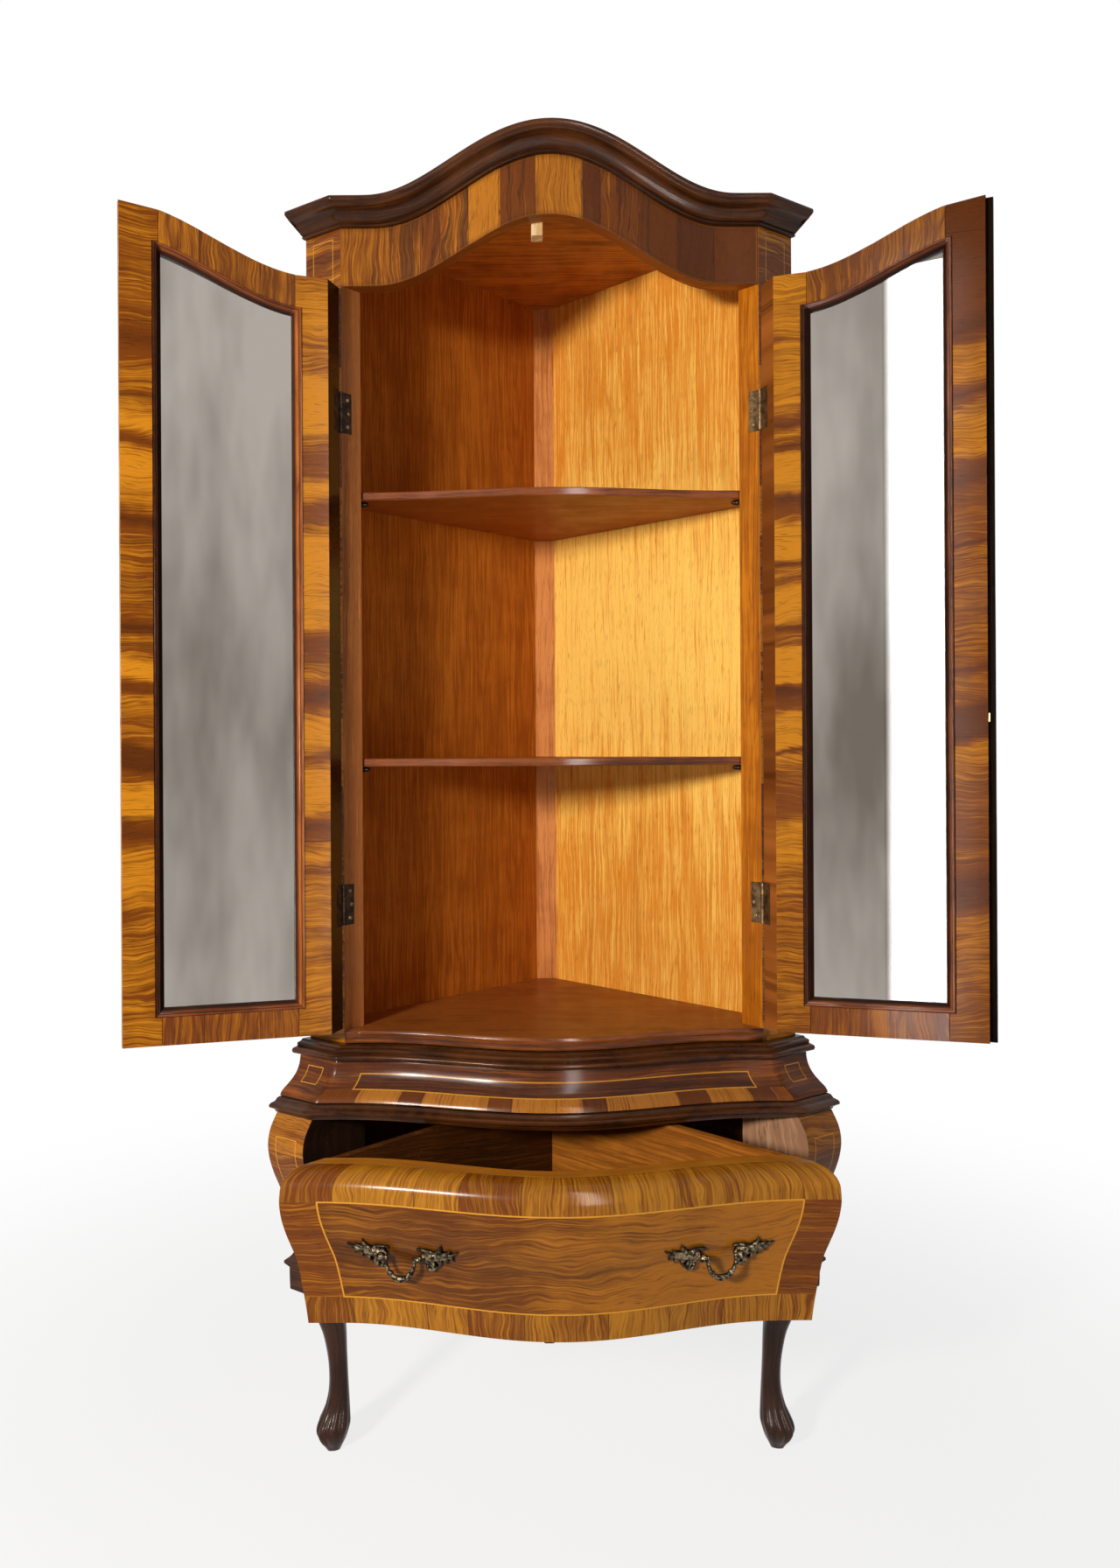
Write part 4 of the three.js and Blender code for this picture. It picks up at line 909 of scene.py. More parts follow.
stileLines = [
    {"Middle B": 1190 * mm, "Half A": 20 * mm, "Half B": 540 * mm, "Line": 1.2 * mm},
    {"Middle B": 1792 * mm, "Half A": 20 * mm, "Half B": 32 * mm, "Line": 1.2 * mm},
]
stileVeneer = patchedWood("stile veneer", 90 * mm, 1.7, axis=1, lines=stileLines, streaks=0.5)
stileInner = plainWood(
    "stile inner face", "inner", tone=0.6, light=srgb(230, 138, 46), mid=srgb(176, 98, 28)
)
stileEdge = {
    "left": plainWood(
        "left stile edge", "inner", tone=0.35, light=srgb(236, 154, 84), mid=srgb(182, 113, 60)
    ),
    "right": plainWood(
        "right stile edge", "inner", tone=0.45, light=srgb(204, 122, 20), mid=srgb(160, 86, 11)
    ),
}
for side in hands:
    coats = [stileVeneer, stileInner, stileEdge[side]]
    piece = copyNode(f"stile_{side}", f"stile_{side}_dressed", coats, paintStile)
    keep(piece, "carcass", "veneer", f"stile_{side}")

swell = {
    "reach": 54 * mm,
    "floor": 300 * mm,
    "space": 218 * mm,
    "postFoot": 300.15 * mm,
    "postTop": 517.85 * mm,
    "rebate": 14 * mm,
    "shares": [
        (0, 0.41), (0.1, 0.455), (0.22, 0.52), (0.33, 0.585), (0.42, 0.655), (0.51, 0.765), (0.6, 0.875),
        (0.7, 0.965), (0.8, 1), (0.9, 0.945), (1, 0.79),
    ],
}


def swellAt(z):
    return swell["reach"] * tableAt(swell["shares"], (z - swell["floor"]) / swell["space"])


def innerCorner():
    along = (plan["wallSum"] - plan["halfFront"]) / (plan["cantRun"] + plan["cantDepth"])
    gap, stile = plan["gap"], plan["stile"]
    return (
        plan["halfFront"] - stile + along * plan["cantRun"] - gap / 2,
        stile + along * plan["cantDepth"] - gap / 2,
    )


def postRows(hand, steps=44):
    bottom, top = swell["postFoot"], swell["postTop"]
    half, run, deep, stile = plan["halfFront"], plan["cantRun"], plan["cantDepth"], plan["stile"]
    rebate, back = swell["rebate"], (plan["backSum"] - plan["wallSum"]) / 2
    outline = [
        (half, 0), (half + run, deep), (half + run - rebate, deep + rebate),
        (half + run - rebate - back, deep + rebate - back), innerCorner(), (half - stile, stile),
    ]
    rows = []
    for i in range(steps + 1):
        z = bottom + (top - bottom) * i / steps
        out = swellAt(z)
        ring = [(x + out, y - out) if k < 2 else (x, y) for k, (x, y) in enumerate(outline)]
        rows.append([atPlan(hand * x, y, z) for x, y in ring])
    return rows


postLines = [{"Middle B": 404 * mm, "Half A": 20 * mm, "Half B": 84 * mm, "Line": 1.4 * mm}]
postVeneer = patchedWood(
    "post veneer", 70 * mm, 6.2, postLines, 1, (0.34, 0.6), streaks=0.3, light=srgb(178, 112, 34)
)
# the left post's inner face is a near-black copy: painted shade
postInner = {
    -1: plainWood(
        "left post inner face in painted shade", "inner", 0.4, light=srgb(52, 32, 20), mid=srgb(30, 18, 12), streaks=0.1
    ),
    1: plainWood(
        "right post inner face", "inner", light=srgb(214, 168, 130), mid=srgb(156, 114, 86), streaks=0.1
    ),
}
for side, hand in hands.items():
    rows = postRows(hand)

    def layPost(i, j):
        z = rows[min(i, len(rows) - 1)][0].z
        if j < 2:
            across = (j - 0.5) * cantLength
            return (across, z, hand), (across, z, 0)
        return (z, j * 30 * mm, hand + 4), (0, 0, 0)

    piece = loft(
        f"post_{side}", rows, layPost, [postVeneer, postInner[hand]], lambda i, j: 0 if j == 0 else 1
    )
    keep(piece, "carcass", "veneer", f"corner_post_{side}")
print("frieze, stiles and posts dressed")

# the lit copy of the back-panel wood: a painted pool of light brightens it around 1.24 m
litRightWallWood = boardWood(
    "right back panel", "plain", (0, 0, 1), (0, 1.414, 0), tone=0.42, outerFaceAndBaseShade=True,
    bright=(1.24, 0.45, 0.36), light=srgb(255, 206, 100), mid=srgb(222, 140, 46), contrast=0.24,
)
# a darker copy of the back-panel wood: painted shade on the panel that faces away from the lamp
shadedLeftWallWood = boardWood(
    "left back panel", "plain", (0, 0, 1), (0, 1.414, 0), board=3.0, outerFaceAndBaseShade=True,
    light=srgb(200, 120, 38), mid=srgb(158, 84, 22), streaks=0.15,
)
postWood = boardWood(
    "rear post wood", "inner", (0, 0, 1), (1, 1, 0), tone=0.6, light=srgb(214, 140, 76),
    mid=srgb(170, 100, 48),
)
ceilingWood = boardWood("ceiling wood", "inner", (1, 0, 0), (0, 1, 0.5), tone=0.6)
innerBoard = boardWood("plain board", "plain", (0, 1, 0), (1, 0, 0.6), tone=0.35)
drawerWood = boardWood(
    "drawer wood", "plain", (0, 1.414, 0), (0.1, 0.1, 1), light=srgb(184, 112, 36), mid=srgb(136, 78, 24)
)
# a darker copy of the drawer wood for the left side and bottom: painted shade inside the drawer
shadedDrawerWood = boardWood(
    "drawer wood in painted shade", "plain", (0, 1.414, 0), (0.1, 0.1, 1), tone=0.4,
    light=srgb(112, 64, 24), mid=srgb(70, 38, 14),
)
for node, material in (
    ("back_panel_left", shadedLeftWallWood), ("back_panel_right", litRightWallWood), ("rear_corner_post", postWood),
    ("ceiling_board", ceilingWood), ("base_bottom", innerBoard), ("drawer_runner", innerBoard),
    ("drawer_side_left", shadedDrawerWood), ("drawer_side_right", drawerWood), ("drawer_bottom", shadedDrawerWood),
):
    dress(node, material)


def paintShelf(co, face):
    x, y, z = co - origin
    if abs(face.normal.z) > 0.6:
        return (x, y, 2), (x, y, 0), 0
    return (x, z, 6), (x, z, 0), 1


shelfTop = plainWood("shelf face", "plain", tone=0.42, light=srgb(184, 106, 38), mid=srgb(146, 78, 24))
shelfEdge = plainWood("shelf edge", "bead", tone=0.6)
for level in ("upper", "lower"):
    node = f"shelf_{level}"
    piece = copyNode(node, f"{node}_dressed", [shelfTop, shelfEdge], paintShelf, 1.6 * mm, 32, 6 * mm)
    keep(piece, "carcass", "veneer", node)
floorTop = plainWood("floor face", "inner", tone=0.7, light=srgb(158, 92, 36), mid=srgb(124, 66, 24))
piece = copyNode("display_floor", "display_floor_dressed", [floorTop, shelfEdge], paintShelf, 0.8 * mm, 60)
keep(piece, "carcass", "veneer", "display_floor")


def lathe(name, profile, steps, material, turn):  # profile of (along, radius) turned about an axis
    rows = []
    for i in range(steps):
        angle = angleAt(i, steps)
        rows.append([turn @ Vector((r * math.cos(angle), r * math.sin(angle), at)) for at, r in profile])

    def lay(i, j):
        return (j * mm, i * mm, 0), (0, 0, 0)

    return loft(name, rows, lay, [material], ring=True, smooth=40)


pegReachIntoShade = 20 * mm  # how much further the pegs reach in than their solids: dark wood standing in for the shadow on the shelf ends
pegProfile = ((0, 0), (0, 1), (0.8, 0.97), (0.93, 0.8), (1, 0))
pegWood = plainWood("peg wood", "leg", light=srgb(40, 24, 16), mid=srgb(22, 13, 9), dark=srgb(8, 5, 4))
for level in ("upper", "lower"):
    for side, hand in hands.items():
        low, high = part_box(f"peg_{level}_{side}")
        outer, inner = (low.x, high.x) if hand < 0 else (high.x, low.x)
        middle, radius = (low + high) / 2, (high.y - low.y) / 2
        length = abs(inner - outer) + pegReachIntoShade
        turn = Matrix.Rotation(-hand * math.pi / 2, 4, "Y")
        turn = Matrix.Translation((outer, middle.y, middle.z)) @ turn
        profile = [(length * along, radius * wide) for along, wide in pegProfile]
        peg = lathe(f"shelf_peg_{level}_{side}", profile, 20, pegWood, turn)
        keep(peg, "carcass", "dark_wood", f"peg_{level}_{side}")


def paintBlock(co, face):
    x, y, z = co
    return (z, x + y, 1), (x, z, 0), 0


blockWood = plainWood("catch block wood", "raw", bump=0.4)
piece = copyNode("catch_block", "catch_block_dressed", [blockWood], paintBlock, 0.9 * mm)
keep(piece, "carcass", "pale_wood", "catch_block")
print("boards and shelves dressed")

door = {
    "open": math.radians(153),
    "pin": (312.49497 * mm, -1.62635 * mm, 0),
    "foot": 642 * mm,
    "rail": 40 * mm,
    "headRail": 46 * mm,
    "headGap": 4 * mm,
    "stile": 38 * mm,
    "meetStile": 44 * mm,
    "meet": 0.8 * mm,
    "hingeGap": 1.6 * mm,
    "middleDepth": 18.6 * mm,
}
pinPoint = Vector(door["pin"])
halfOpening = plan["halfFront"] - plan["stile"]
doorLean = math.atan2(plan["stile"] + plan["bow"] - door["middleDepth"], halfOpening)
leanRun = math.tan(doorLean)
hingeLine = plan["halfFront"] - door["hingeGap"] * math.sqrt(2)
doorEdgeX = (hingeLine - plan["stile"] + halfOpening * leanRun) / (1 + leanRun)
glassHingeX = doorEdgeX - door["stile"] * math.cos(doorLean)
glassMeetX = door["meet"] + door["meetStile"] * math.cos(doorLean)
glassFoot = door["foot"] + door["rail"]


def glassHead(x):
    return friezeEdge(x) - door["headGap"] - door["headRail"]


def doorInner(x):
    return plan["stile"] - (halfOpening - x) * leanRun


def swung(point, hand):  # from a shut right-hand door in plan to where the door stands open
    turned = Matrix.Rotation(door["open"], 4, "Z") @ (point - pinPoint) + pinPoint
    return atPlan(hand * turned.x, turned.y, turned.z)


def shut(co, hand):  # the reverse
    x, y, z = co - origin
    return Matrix.Rotation(-door["open"], 4, "Z") @ (Vector((x * hand, y, z)) - pinPoint) + pinPoint


def shutTurn(normal, hand):
    return Matrix.Rotation(-door["open"], 3, "Z") @ Vector((normal.x * hand, normal.y, normal.z))


def paintDoor(hand, upright, board):
    def paint(co, face):
        x, y, z = shut(co, hand)
        out = shutTurn(face.normal, hand)
        if shut(face.calc_center_median(), hand).x < door["meet"] + 0.1 * mm:
            return (z, x + y, board), (0, 0, 0), 2
        if out.x > 0.6:
            return (z, x + y, board), (0, 0, 0), 1
        if out.y > 0.7 or (out.y < -0.5 and y < doorInner(x) - 12 * mm):  # a veneered face
            return ((x, z, board), (z, x, 0), 0) if upright else ((z, x, board), (x, x, 0), 0)
        return ((z, x + y, board) if upright else (x, z + y, board)), (0, 0, 0), 1

    return paint


bands = {  # height of each band in mm and its tone, from dark 0 to bright 1
    "low": 585 * mm,
    "high": 1865 * mm,
    "sway": 22 * mm,
    ("left", "meeting_stile"): {
        "slant": 0.12,
        "seams": (704, 975, 1224, 1661, 1717),
        "rows": [
            (670, 0.45), (705, 0.3), (730, 0.6), (795, 0.6), (825, 0.12), (845, 0.2), (870, 0.85),
            (900, 0.8), (925, 0.35), (950, 0.06), (990, 0.1), (1020, 0.5), (1090, 0.5), (1105, 0.15),
            (1122, 0.2), (1140, 0.8), (1165, 0.75), (1190, 0.3), (1215, 0.4), (1235, 0.05), (1262, 0.34),
            (1430, 0.4), (1462, 0.06), (1490, 0.5), (1560, 0.75), (1590, 0.6), (1607, 0.14), (1640, 0.88),
            (1675, 0.42), (1720, 0.45), (1757, 0.12), (1800, 0.36),
        ],
    },
    ("left", "hinge_stile"): {
        "slant": -0.1,
        "seams": (925, 1186, 1282, 1369, 1473, 1700),
        "rows": [
            (640, 0.5), (720, 0.55), (737, 0.2), (755, 0.6), (774, 0.4), (800, 0.1), (830, 0.65),
            (900, 0.7), (925, 0.3), (950, 0.65), (1000, 0.6), (1045, 0.08), (1065, 0.12), (1100, 0.5),
            (1150, 0.15), (1175, 0.18), (1205, 0.78), (1280, 0.7), (1340, 0.85), (1385, 0.75), (1430, 0.2),
            (1460, 0.25), (1495, 0.8), (1525, 0.3), (1590, 0.45), (1615, 0.88), (1690, 0.95), (1702, 0.45),
            (1740, 0.55),
        ],
    },
    ("right", "hinge_stile"): {
        "slant": 0.1,
        "seams": (797, 1365, 1497),
        "rows": [
            (650, 0.42), (780, 0.44), (800, 0.65), (860, 0.62), (885, 0.28), (950, 0.26), (1000, 0.5),
            (1009, 0.08), (1020, 0.75), (1085, 0.75), (1102, 0.25), (1143, 0.06), (1155, 0.9), (1225, 0.92),
            (1240, 0.35), (1262, 0.55), (1274, 0.06), (1290, 0.78), (1355, 0.75), (1370, 0.42),
            (1402, 0.42), (1410, 0.08), (1425, 0.8), (1490, 0.75), (1503, 0.4), (1548, 0.06), (1562, 0.8),
            (1625, 0.78), (1637, 0.1), (1660, 0.55), (1675, 0.08), (1700, 0.55),
        ],
    },
    ("right", "meeting_stile"): {
        "slant": 0.2,
        "seams": (931, 1071, 1321, 1780),
        "rows": [
            (600, 0.3), (660, 0.45), (700, 0.4), (715, 0.1), (750, 0.08), (775, 0.28), (900, 0.28),
            (945, 0.5), (985, 0.5), (1003, 0.1), (1065, 0.08), (1082, 0.38), (1130, 0.38), (1143, 0.08),
            (1160, 0.38), (1310, 0.38), (1335, 0.45), (1395, 0.42), (1406, 0.06), (1420, 0.34),
            (1500, 0.34), (1530, 0.12), (1555, 0.18), (1580, 0.58), (1660, 0.55), (1680, 0.1), (1705, 0.55),
            (1750, 0.5), (1767, 0.06), (1790, 0.18), (1830, 0.12),
        ],
    },
}


def bandedWood(name, side, part):  # listed light and dark bands laid up the stile, with a few seams
    material, tree, shader, _ = startMaterial(name)
    grain = attribute(tree, "grain")
    at = split(tree, attribute(tree, "spot"))
    spec, low, high = bands[side, part], bands["low"], bands["high"]
    sway = minus(tree, noiseAt(tree, grain, 16.0, 3.0, 0.6), 0.5)
    moved = timesPlus(tree, at[1], spec["slant"], timesPlus(tree, sway, bands["sway"], at[0]))
    stops = [((z * mm - low) / (high - low), tone) for z, tone in spec["rows"]]
    tone = toneRamp(tree, remap(tree, moved, low, high), stops)
    found = figureColor(
        tree, "veneer", grain, tone, scale=26.0, streaks=0.3, slant=spec["slant"], rings=0.1,
        contrast=0.3, fibre=0.5,
    )
    color = darkened(tree, found["Color"], seamMask(tree, at[0], spec["seams"], 0.5 * mm), 0.7)
    polish = 0.4 if part == "meeting_stile" else 0.8
    finishWood(tree, shader, "veneer", color, found["Height"], polish=polish)
    return material


# the left door's hinge edge is painted near black: painted shade in the gap by the stile
hingeEdge = {
    -1: plainWood("left door edge in painted shade", "moulding", tone=0.4),
    1: plainWood("right door edge", "inner", tone=0.4, light=srgb(170, 98, 40), mid=srgb(112, 60, 22)),
}
freeEdge = {
    -1: plainWood("left door free edge", "raw", light=srgb(214, 178, 140), mid=srgb(160, 112, 78)),
    1: plainWood(
        "right door lip", "moulding", polish=0.1,
        light=srgb(34, 19, 11), mid=srgb(18, 10, 6), dark=srgb(7, 4, 3),
    ),
}


def beadMaterial(name, paintedShade, polish=0.5, **changes):
    material, tree, shader, _ = startMaterial(name)
    grain = attribute(tree, "grain")
    found = figureColor(tree, "bead", grain, 0.5, **changes)
    at = split(tree, attribute(tree, "spot"))
    # painted shade in the bead's creases: the wall at the glass, the quirk and the slope down to the frame
    outer = remap(tree, at[1], 0.5 * mm, 1.6 * mm, 1.0, 0.0)
    inner = remap(tree, at[1], 7.0 * mm, 10.0 * mm, 0.0, 0.9)
    step = remap(tree, offFrom(tree, at[1], 4.4 * mm), 0.2 * mm, 0.9 * mm, 0.8, 0.0)
    paintedCreaseShade = larger(tree, larger(tree, larger(tree, outer, inner), step), paintedShade)
    color = blendColor(tree, paintedCreaseShade, found["Color"], woods["bead"]["dark"])
    finishWood(tree, shader, "bead", color, found["Height"], 0.1, wearMask(tree, 0.6 - paintedShade * 0.5), polish)
    return material


# a plain, a shaded and a lit copy of the bead wood: painted shade on uprights turned from the lamp, painted
# light on one turned towards it
beadWood = beadMaterial("glazing bead wood", 0.0)
shadedBead = beadMaterial("bead wood in painted shade", 0.85, 0.15)
litBead = beadMaterial("bead wood with painted light", 0.0, 0.5, light=srgb(182, 102, 40), mid=srgb(134, 68, 22))
doorVeneers = {
    "bottom_rail": patchedWood(
        "bottom rail veneer", 75 * mm, 4.6, scale=24.0, streaks=0.2, contrast=0.35, toneSpan=(0.3, 0.48),
        light=srgb(178, 106, 18), mid=srgb(106, 50, 7),
    ),
    "top_rail": patchedWood(
        "top rail veneer", 92 * mm, 5.9, scale=20.0, streaks=0.2, contrast=0.32, toneSpan=(0.3, 0.5),
        light=srgb(182, 112, 22), mid=srgb(104, 52, 9),
    ),
}


def openingRing(inset, depth, steps=40):  # points round the glass opening, drawn in by inset
    left, right = glassMeetX + inset, glassHingeX - inset
    low = glassFoot + inset
    xs = [left + (right - left) * i / steps for i in range(steps + 1)]
    ring = [(x, low) for x in xs[:: steps // 4]] + [(x, glassHead(x) - inset) for x in reversed(xs)]
    return [Vector((x, doorInner(x) - depth, z)) for x, z in ring]


bead = {
    "section": [  # inset from the edge of the opening, and depth below the inner face, in mm
        (0.3, 7.4), (0.3, -0.9), (0.9, -1.8), (2.2, -2.0), (3.4, -1.6), (4.1, -0.8), (4.7, -0.7),
        (5.6, -0.4), (6.8, 0.4), (8.3, 2.0), (9.9, 4.0), (11.4, 6.0), (12.3, 6.9), (13.0, 7.2), (13.0, 7.4),
    ],
    "wear": {2: 0.7, 3: 1.0, 4: 0.4, 7: 0.5, 8: 0.2},
    "corner": 6 * mm,
}


def beadPiece(name, hand):
    rows = [[swung(p, hand) for p in openingRing(d * mm, out * mm)] for d, out in bead["section"]]
    count = len(rows[0])
    run = [0.0]
    for j in range(count):
        run.append(run[-1] + (rows[0][(j + 1) % count] - rows[0][j]).length)

    def lay(i, j):
        i = i % len(rows)
        across = bead["section"][i][0] * mm
        return (run[j], across, hand), (run[j], across, bead["wear"].get(i, 0.0))

    def part(i, j):  # one upright of each pane is almost black with painted shade, and one of the left pane is pale with painted light
        ends = [shut(rows[0][k], hand).x for k in (j, (j + 1) % count)]
        dusky, pale = (glassMeetX, glassHingeX) if hand < 0 else (glassHingeX, None)
        if max(abs(x - dusky) for x in ends) < bead["corner"]:
            return 1
        return 2 if pale and max(abs(x - pale) for x in ends) < bead["corner"] else 0

    return loft(name, rows, lay, [beadWood, shadedBead, litBead], part, ring=True, smooth=40)


for side, hand in hands.items():
    body = f"{side}_door"
    for k, part in enumerate(("hinge_stile", "meeting_stile", "bottom_rail", "top_rail")):
        veneer = doorVeneers.get(part) or bandedWood(f"{side} {part.replace('_', ' ')}", side, part)
        node = f"door_{side}_{part}"
        paint = paintDoor(hand, "stile" in part, k * 2.3 + hand)
        piece = copyNode(node, f"{node}_dressed", [veneer, hingeEdge[hand], freeEdge[hand]], paint)
        keep(piece, body, "veneer", node)
    node = f"door_{side}_glazing_bead"
    keep(beadPiece(f"{node}_moulded", hand), body, "bead_wood", node)


def glassMaterial():
    material, tree, shader, output = startMaterial("window glass with painted reflection tint")
    spots = objectSpots(tree)
    stretch = {0: spots, 1: (5.0, 5.0, 1.3)}
    tall = place(tree, "ShaderNodeVectorMath", stretch, operation="MULTIPLY").outputs[0]
    # the grey tint is a painted reflection of a room, lighter above and below 1.06 m, with soft noise haze
    rise = remap(tree, offFrom(tree, split(tree, spots)[2], 1.06), 0.0, 0.65, -0.22, 0.4)
    hazeAndPaintedReflection = plus(tree, remap(tree, noiseAt(tree, tall, 1.0, 4.0, 0.6), 0.3, 0.7), rise, clamp=True)
    dust = remap(tree, noiseAt(tree, spots, 240.0, 2.0, 0.5), 0.72, 0.8, 0.0, 0.12)
    paintedReflectionTint = blendColor(tree, hazeAndPaintedReflection, (0.13, 0.105, 0.08, 1), (0.4, 0.36, 0.315, 1))
    sockets = {"Base Color": paintedReflectionTint, "Transmission Weight": 1.0, "IOR": 1.52, "Specular IOR Level": 1.0}
    feed(tree, shader, {**sockets, "Roughness": dust})
    clear = place(tree, "ShaderNodeBsdfTransparent", {"Color": (0.86, 0.87, 0.88, 1)})
    path = place(tree, "ShaderNodeLightPath").outputs
    mixShaders(tree, output, path["Is Shadow Ray"], shader, clear)
    return material


glass = glassMaterial()
for side in hands:
    dress(f"door_{side}_glass", glass)
print("doors dressed")

drawer = {
    "out": 178 * mm,
    "low": 300.6 * mm,
    "high": 511.5 * mm,
    "back": 2 * mm,
    "rimShare": 0.45,
    "rimDrop": 27 * mm,
    "rimWidth": 5 * mm,
    "reach": 310.4 * mm,
    "faceSteps": 26,
    "rollSteps": 12,
    "steps": 120,
    "field": {
        "Middle B": 106 * mm, "Half A": 265.5 * mm, "Half B": 69 * mm, "Taper": 0.05, "Line": 1.9 * mm,
    },
    "fieldReach": 264 * mm,
}


def drawerSection():  # points of (out, z): up the face, over the roll, along the flat rim and down the back
    low, high, drop = drawer["low"], drawer["high"], drawer["rimDrop"]
    foot = high - drop
    heights = [low + (foot - low) * i / drawer["faceSteps"] for i in range(drawer["faceSteps"] + 1)]
    rim = swell["reach"] * drawer["rimShare"]
    top = swellAt(foot)
    turns = [i * math.pi / (2 * drawer["rollSteps"]) for i in range(1, drawer["rollSteps"] + 1)]
    roll = [(rim + (top - rim) * math.cos(turn), foot + drop * math.sin(turn)) for turn in turns]
    flat = [(rim - drawer["rimWidth"], high), (drawer["back"], high), (drawer["back"], low)]
    return [(swellAt(z), z) for z in heights] + roll + flat


def drawerFront():
    section = drawerSection()
    length = [0.0]
    for (a0, b0), (a1, b1) in zip(section, section[1:] + section[:1]):
        length.append(length[-1] + math.hypot(a1 - a0, b1 - b0))
    stretched = [(1 + out / plan["halfFront"], out, z) for out, z in section]
    steps = drawer["steps"]
    spans = [drawer["reach"] * (2 * i / steps - 1) for i in range(steps + 1)]
    rows = []
    for across in spans:
        front = frontAt(across)
        rows.append([atPlan(across * k, front - out - drawer["out"], z) for k, out, z in stretched])
    rimFrom = drawer["faceSteps"] + drawer["rollSteps"]

    def lay(i, j):
        spot = (spans[min(i, steps)], length[j], 0)
        return spot, spot

    def part(i, j):
        if j < rimFrom:
            return 0
        return 1 if j < rimFrom + 2 else 2

    return loft("drawer_front_dressed", rows, lay, [drawerVeneer(), rimWood, drawerInner], part)


def drawerVeneer():
    material, tree, shader, _ = startMaterial("drawer veneer")
    spot = attribute(tree, "spot")
    at = split(tree, spot)
    box = drawer["field"]
    drawn = useGroup(tree, "stringing", {"Spot": spot, **box})
    fieldTone = remap(tree, at[0], -150 * mm, 200 * mm, 0.4, 0.72)
    field = figureColor(
        tree, "veneer", joinVector(tree, at[0], at[1], 2.6), fieldTone, scale=7.5, streaks=0.42,
        waviness=0.07, rings=0.1, contrast=0.4, light=srgb(172, 106, 26), mid=srgb(100, 52, 11),
    )
    patch = useGroup(tree, "patches", {"Along": at[0], "Width": 74 * mm, "Seed": 5.3})
    tone = remap(tree, patch["Tone"], 0.0, 1.0, 0.36, 0.6)
    band = figureColor(
        tree, "veneer", joinVector(tree, at[1], at[0], patch["Board"]), tone, scale=24.0, streaks=0.2,
        rings=0.0, contrast=0.24, light=srgb(186, 124, 32),
    )
    endLay = joinVector(tree, at[0], at[1], 7.7)
    end = figureColor(tree, "veneer", endLay, 0.36, scale=20.0, streaks=0.3, waviness=0.04, contrast=0.4)
    beyond = calc(tree, "GREATER_THAN", absolute(tree, at[0]), drawer["fieldReach"])
    level = isBelow(tree, offFrom(tree, at[1], box["Middle B"]), box["Half B"])
    color = darkened(tree, band["Color"], patch["Seam"], 0.6)
    color = blendColor(tree, times(tree, beyond, level), color, end["Color"])
    color = blendColor(tree, drawn["Inside"], color, field["Color"])
    color = blendColor(tree, drawn["Line"], color, woods["string"]["light"])
    finishWood(tree, shader, "veneer", color, band["Height"], 0.08)
    return material


rimWood = plainWood("drawer rim wood", "string", tone=0.4)
drawerInner = plainWood("drawer inner face", "plain", tone=0.4)
keep(drawerFront(), "drawer", "veneer", "drawer_front")
print("drawer dressed")

leg = {
    "rearHalf": 22 * mm,
    "rearTaper": 13 * mm,
    "rearEdge": 2.5 * mm,
    "reach": 0.995,
    "height": 245 * mm,
    "half": 33 * mm,
    "diamond": 1.55,
    "toes": 9,
    "toeDepth": 0.13,
    "rows": [  # height share, outwards, half along, half across, carving
        (0, -0.28, 0.36, 0.34, 0.0), (0.03, -0.26, 0.5, 0.47, 0.3), (0.07, -0.23, 0.72, 0.64, 0.8),
        (0.12, -0.22, 0.88, 0.77, 1.0), (0.16, -0.32, 0.87, 0.79, 1.0), (0.2, -0.43, 0.76, 0.71, 0.9),
        (0.25, -0.54, 0.65, 0.61, 0.7), (0.34, -0.63, 0.53, 0.51, 0.25), (0.45, -0.62, 0.48, 0.48, 0.0),
        (0.57, -0.54, 0.51, 0.5, 0.0), (0.71, -0.38, 0.61, 0.59, 0.0), (0.83, -0.14, 0.77, 0.72, 0.0),
        (0.93, 0.04, 0.91, 0.83, 0.0), (0.995, 0.1, 0.99, 0.91, 0.0),
    ],
}
legWood = plainWood("leg wood", "leg", wear=0.8, bump=0.2)


def legColumn(k, share):
    return tableAt([(row[0], row[k]) for row in leg["rows"]], share)


def legRings(hand, sides=72, steps=84):
    middle = atPlan(hand * (plan["halfFront"] + plan["cantRun"] / 2), plan["cantDepth"] / 2, 0)
    turn = Matrix.Translation(middle) @ Matrix.Rotation(hand * cantAngle, 4, "Z")
    rows, carving = [], []
    for i in range(steps + 1):
        share = leg["reach"] * i / steps
        out, along, across, carved = (legColumn(k, share) for k in (1, 2, 3, 4))
        ring, relief = [], []
        for j in range(sides):
            angle = angleAt(j, sides)
            c, s = math.cos(angle), math.sin(angle)
            reach = (abs(c) ** leg["diamond"] + abs(s) ** leg["diamond"]) ** (-1 / leg["diamond"])
            groove = 0.5 - 0.5 * math.cos(leg["toes"] * (angle - math.pi / 2))
            groove = groove**2 * carved * (0.4 + 0.6 * max(s, 0))
            reach *= 1 - leg["toeDepth"] * groove
            x = c * reach * across * leg["half"]
            y = -(out + s * reach * along) * leg["half"]
            ring.append(turn @ Vector((x, y, share * leg["height"])))
            ridge = 0.9 if s > 0.985 else 0
            relief.append(max(carved * (1 - groove * 2), 0) * 0.7 + ridge * (1 - carved))
        rows.append(ring)
        carving.append(relief)
    return rows, carving


for side, hand in hands.items():
    rows, carving = legRings(hand)
    sides = len(rows[0])

    def layLeg(i, j):
        z = leg["height"] * i / (len(rows) - 1)
        return (z, j * mm * 1.4, hand), (0, 0, carving[min(i, len(rows) - 1)][j % sides])

    piece = loft(f"cabriole_leg_{side}", rows, layLeg, [legWood], smooth=50)
    keep(piece, "carcass", "dark_wood", f"front_leg_{side}")


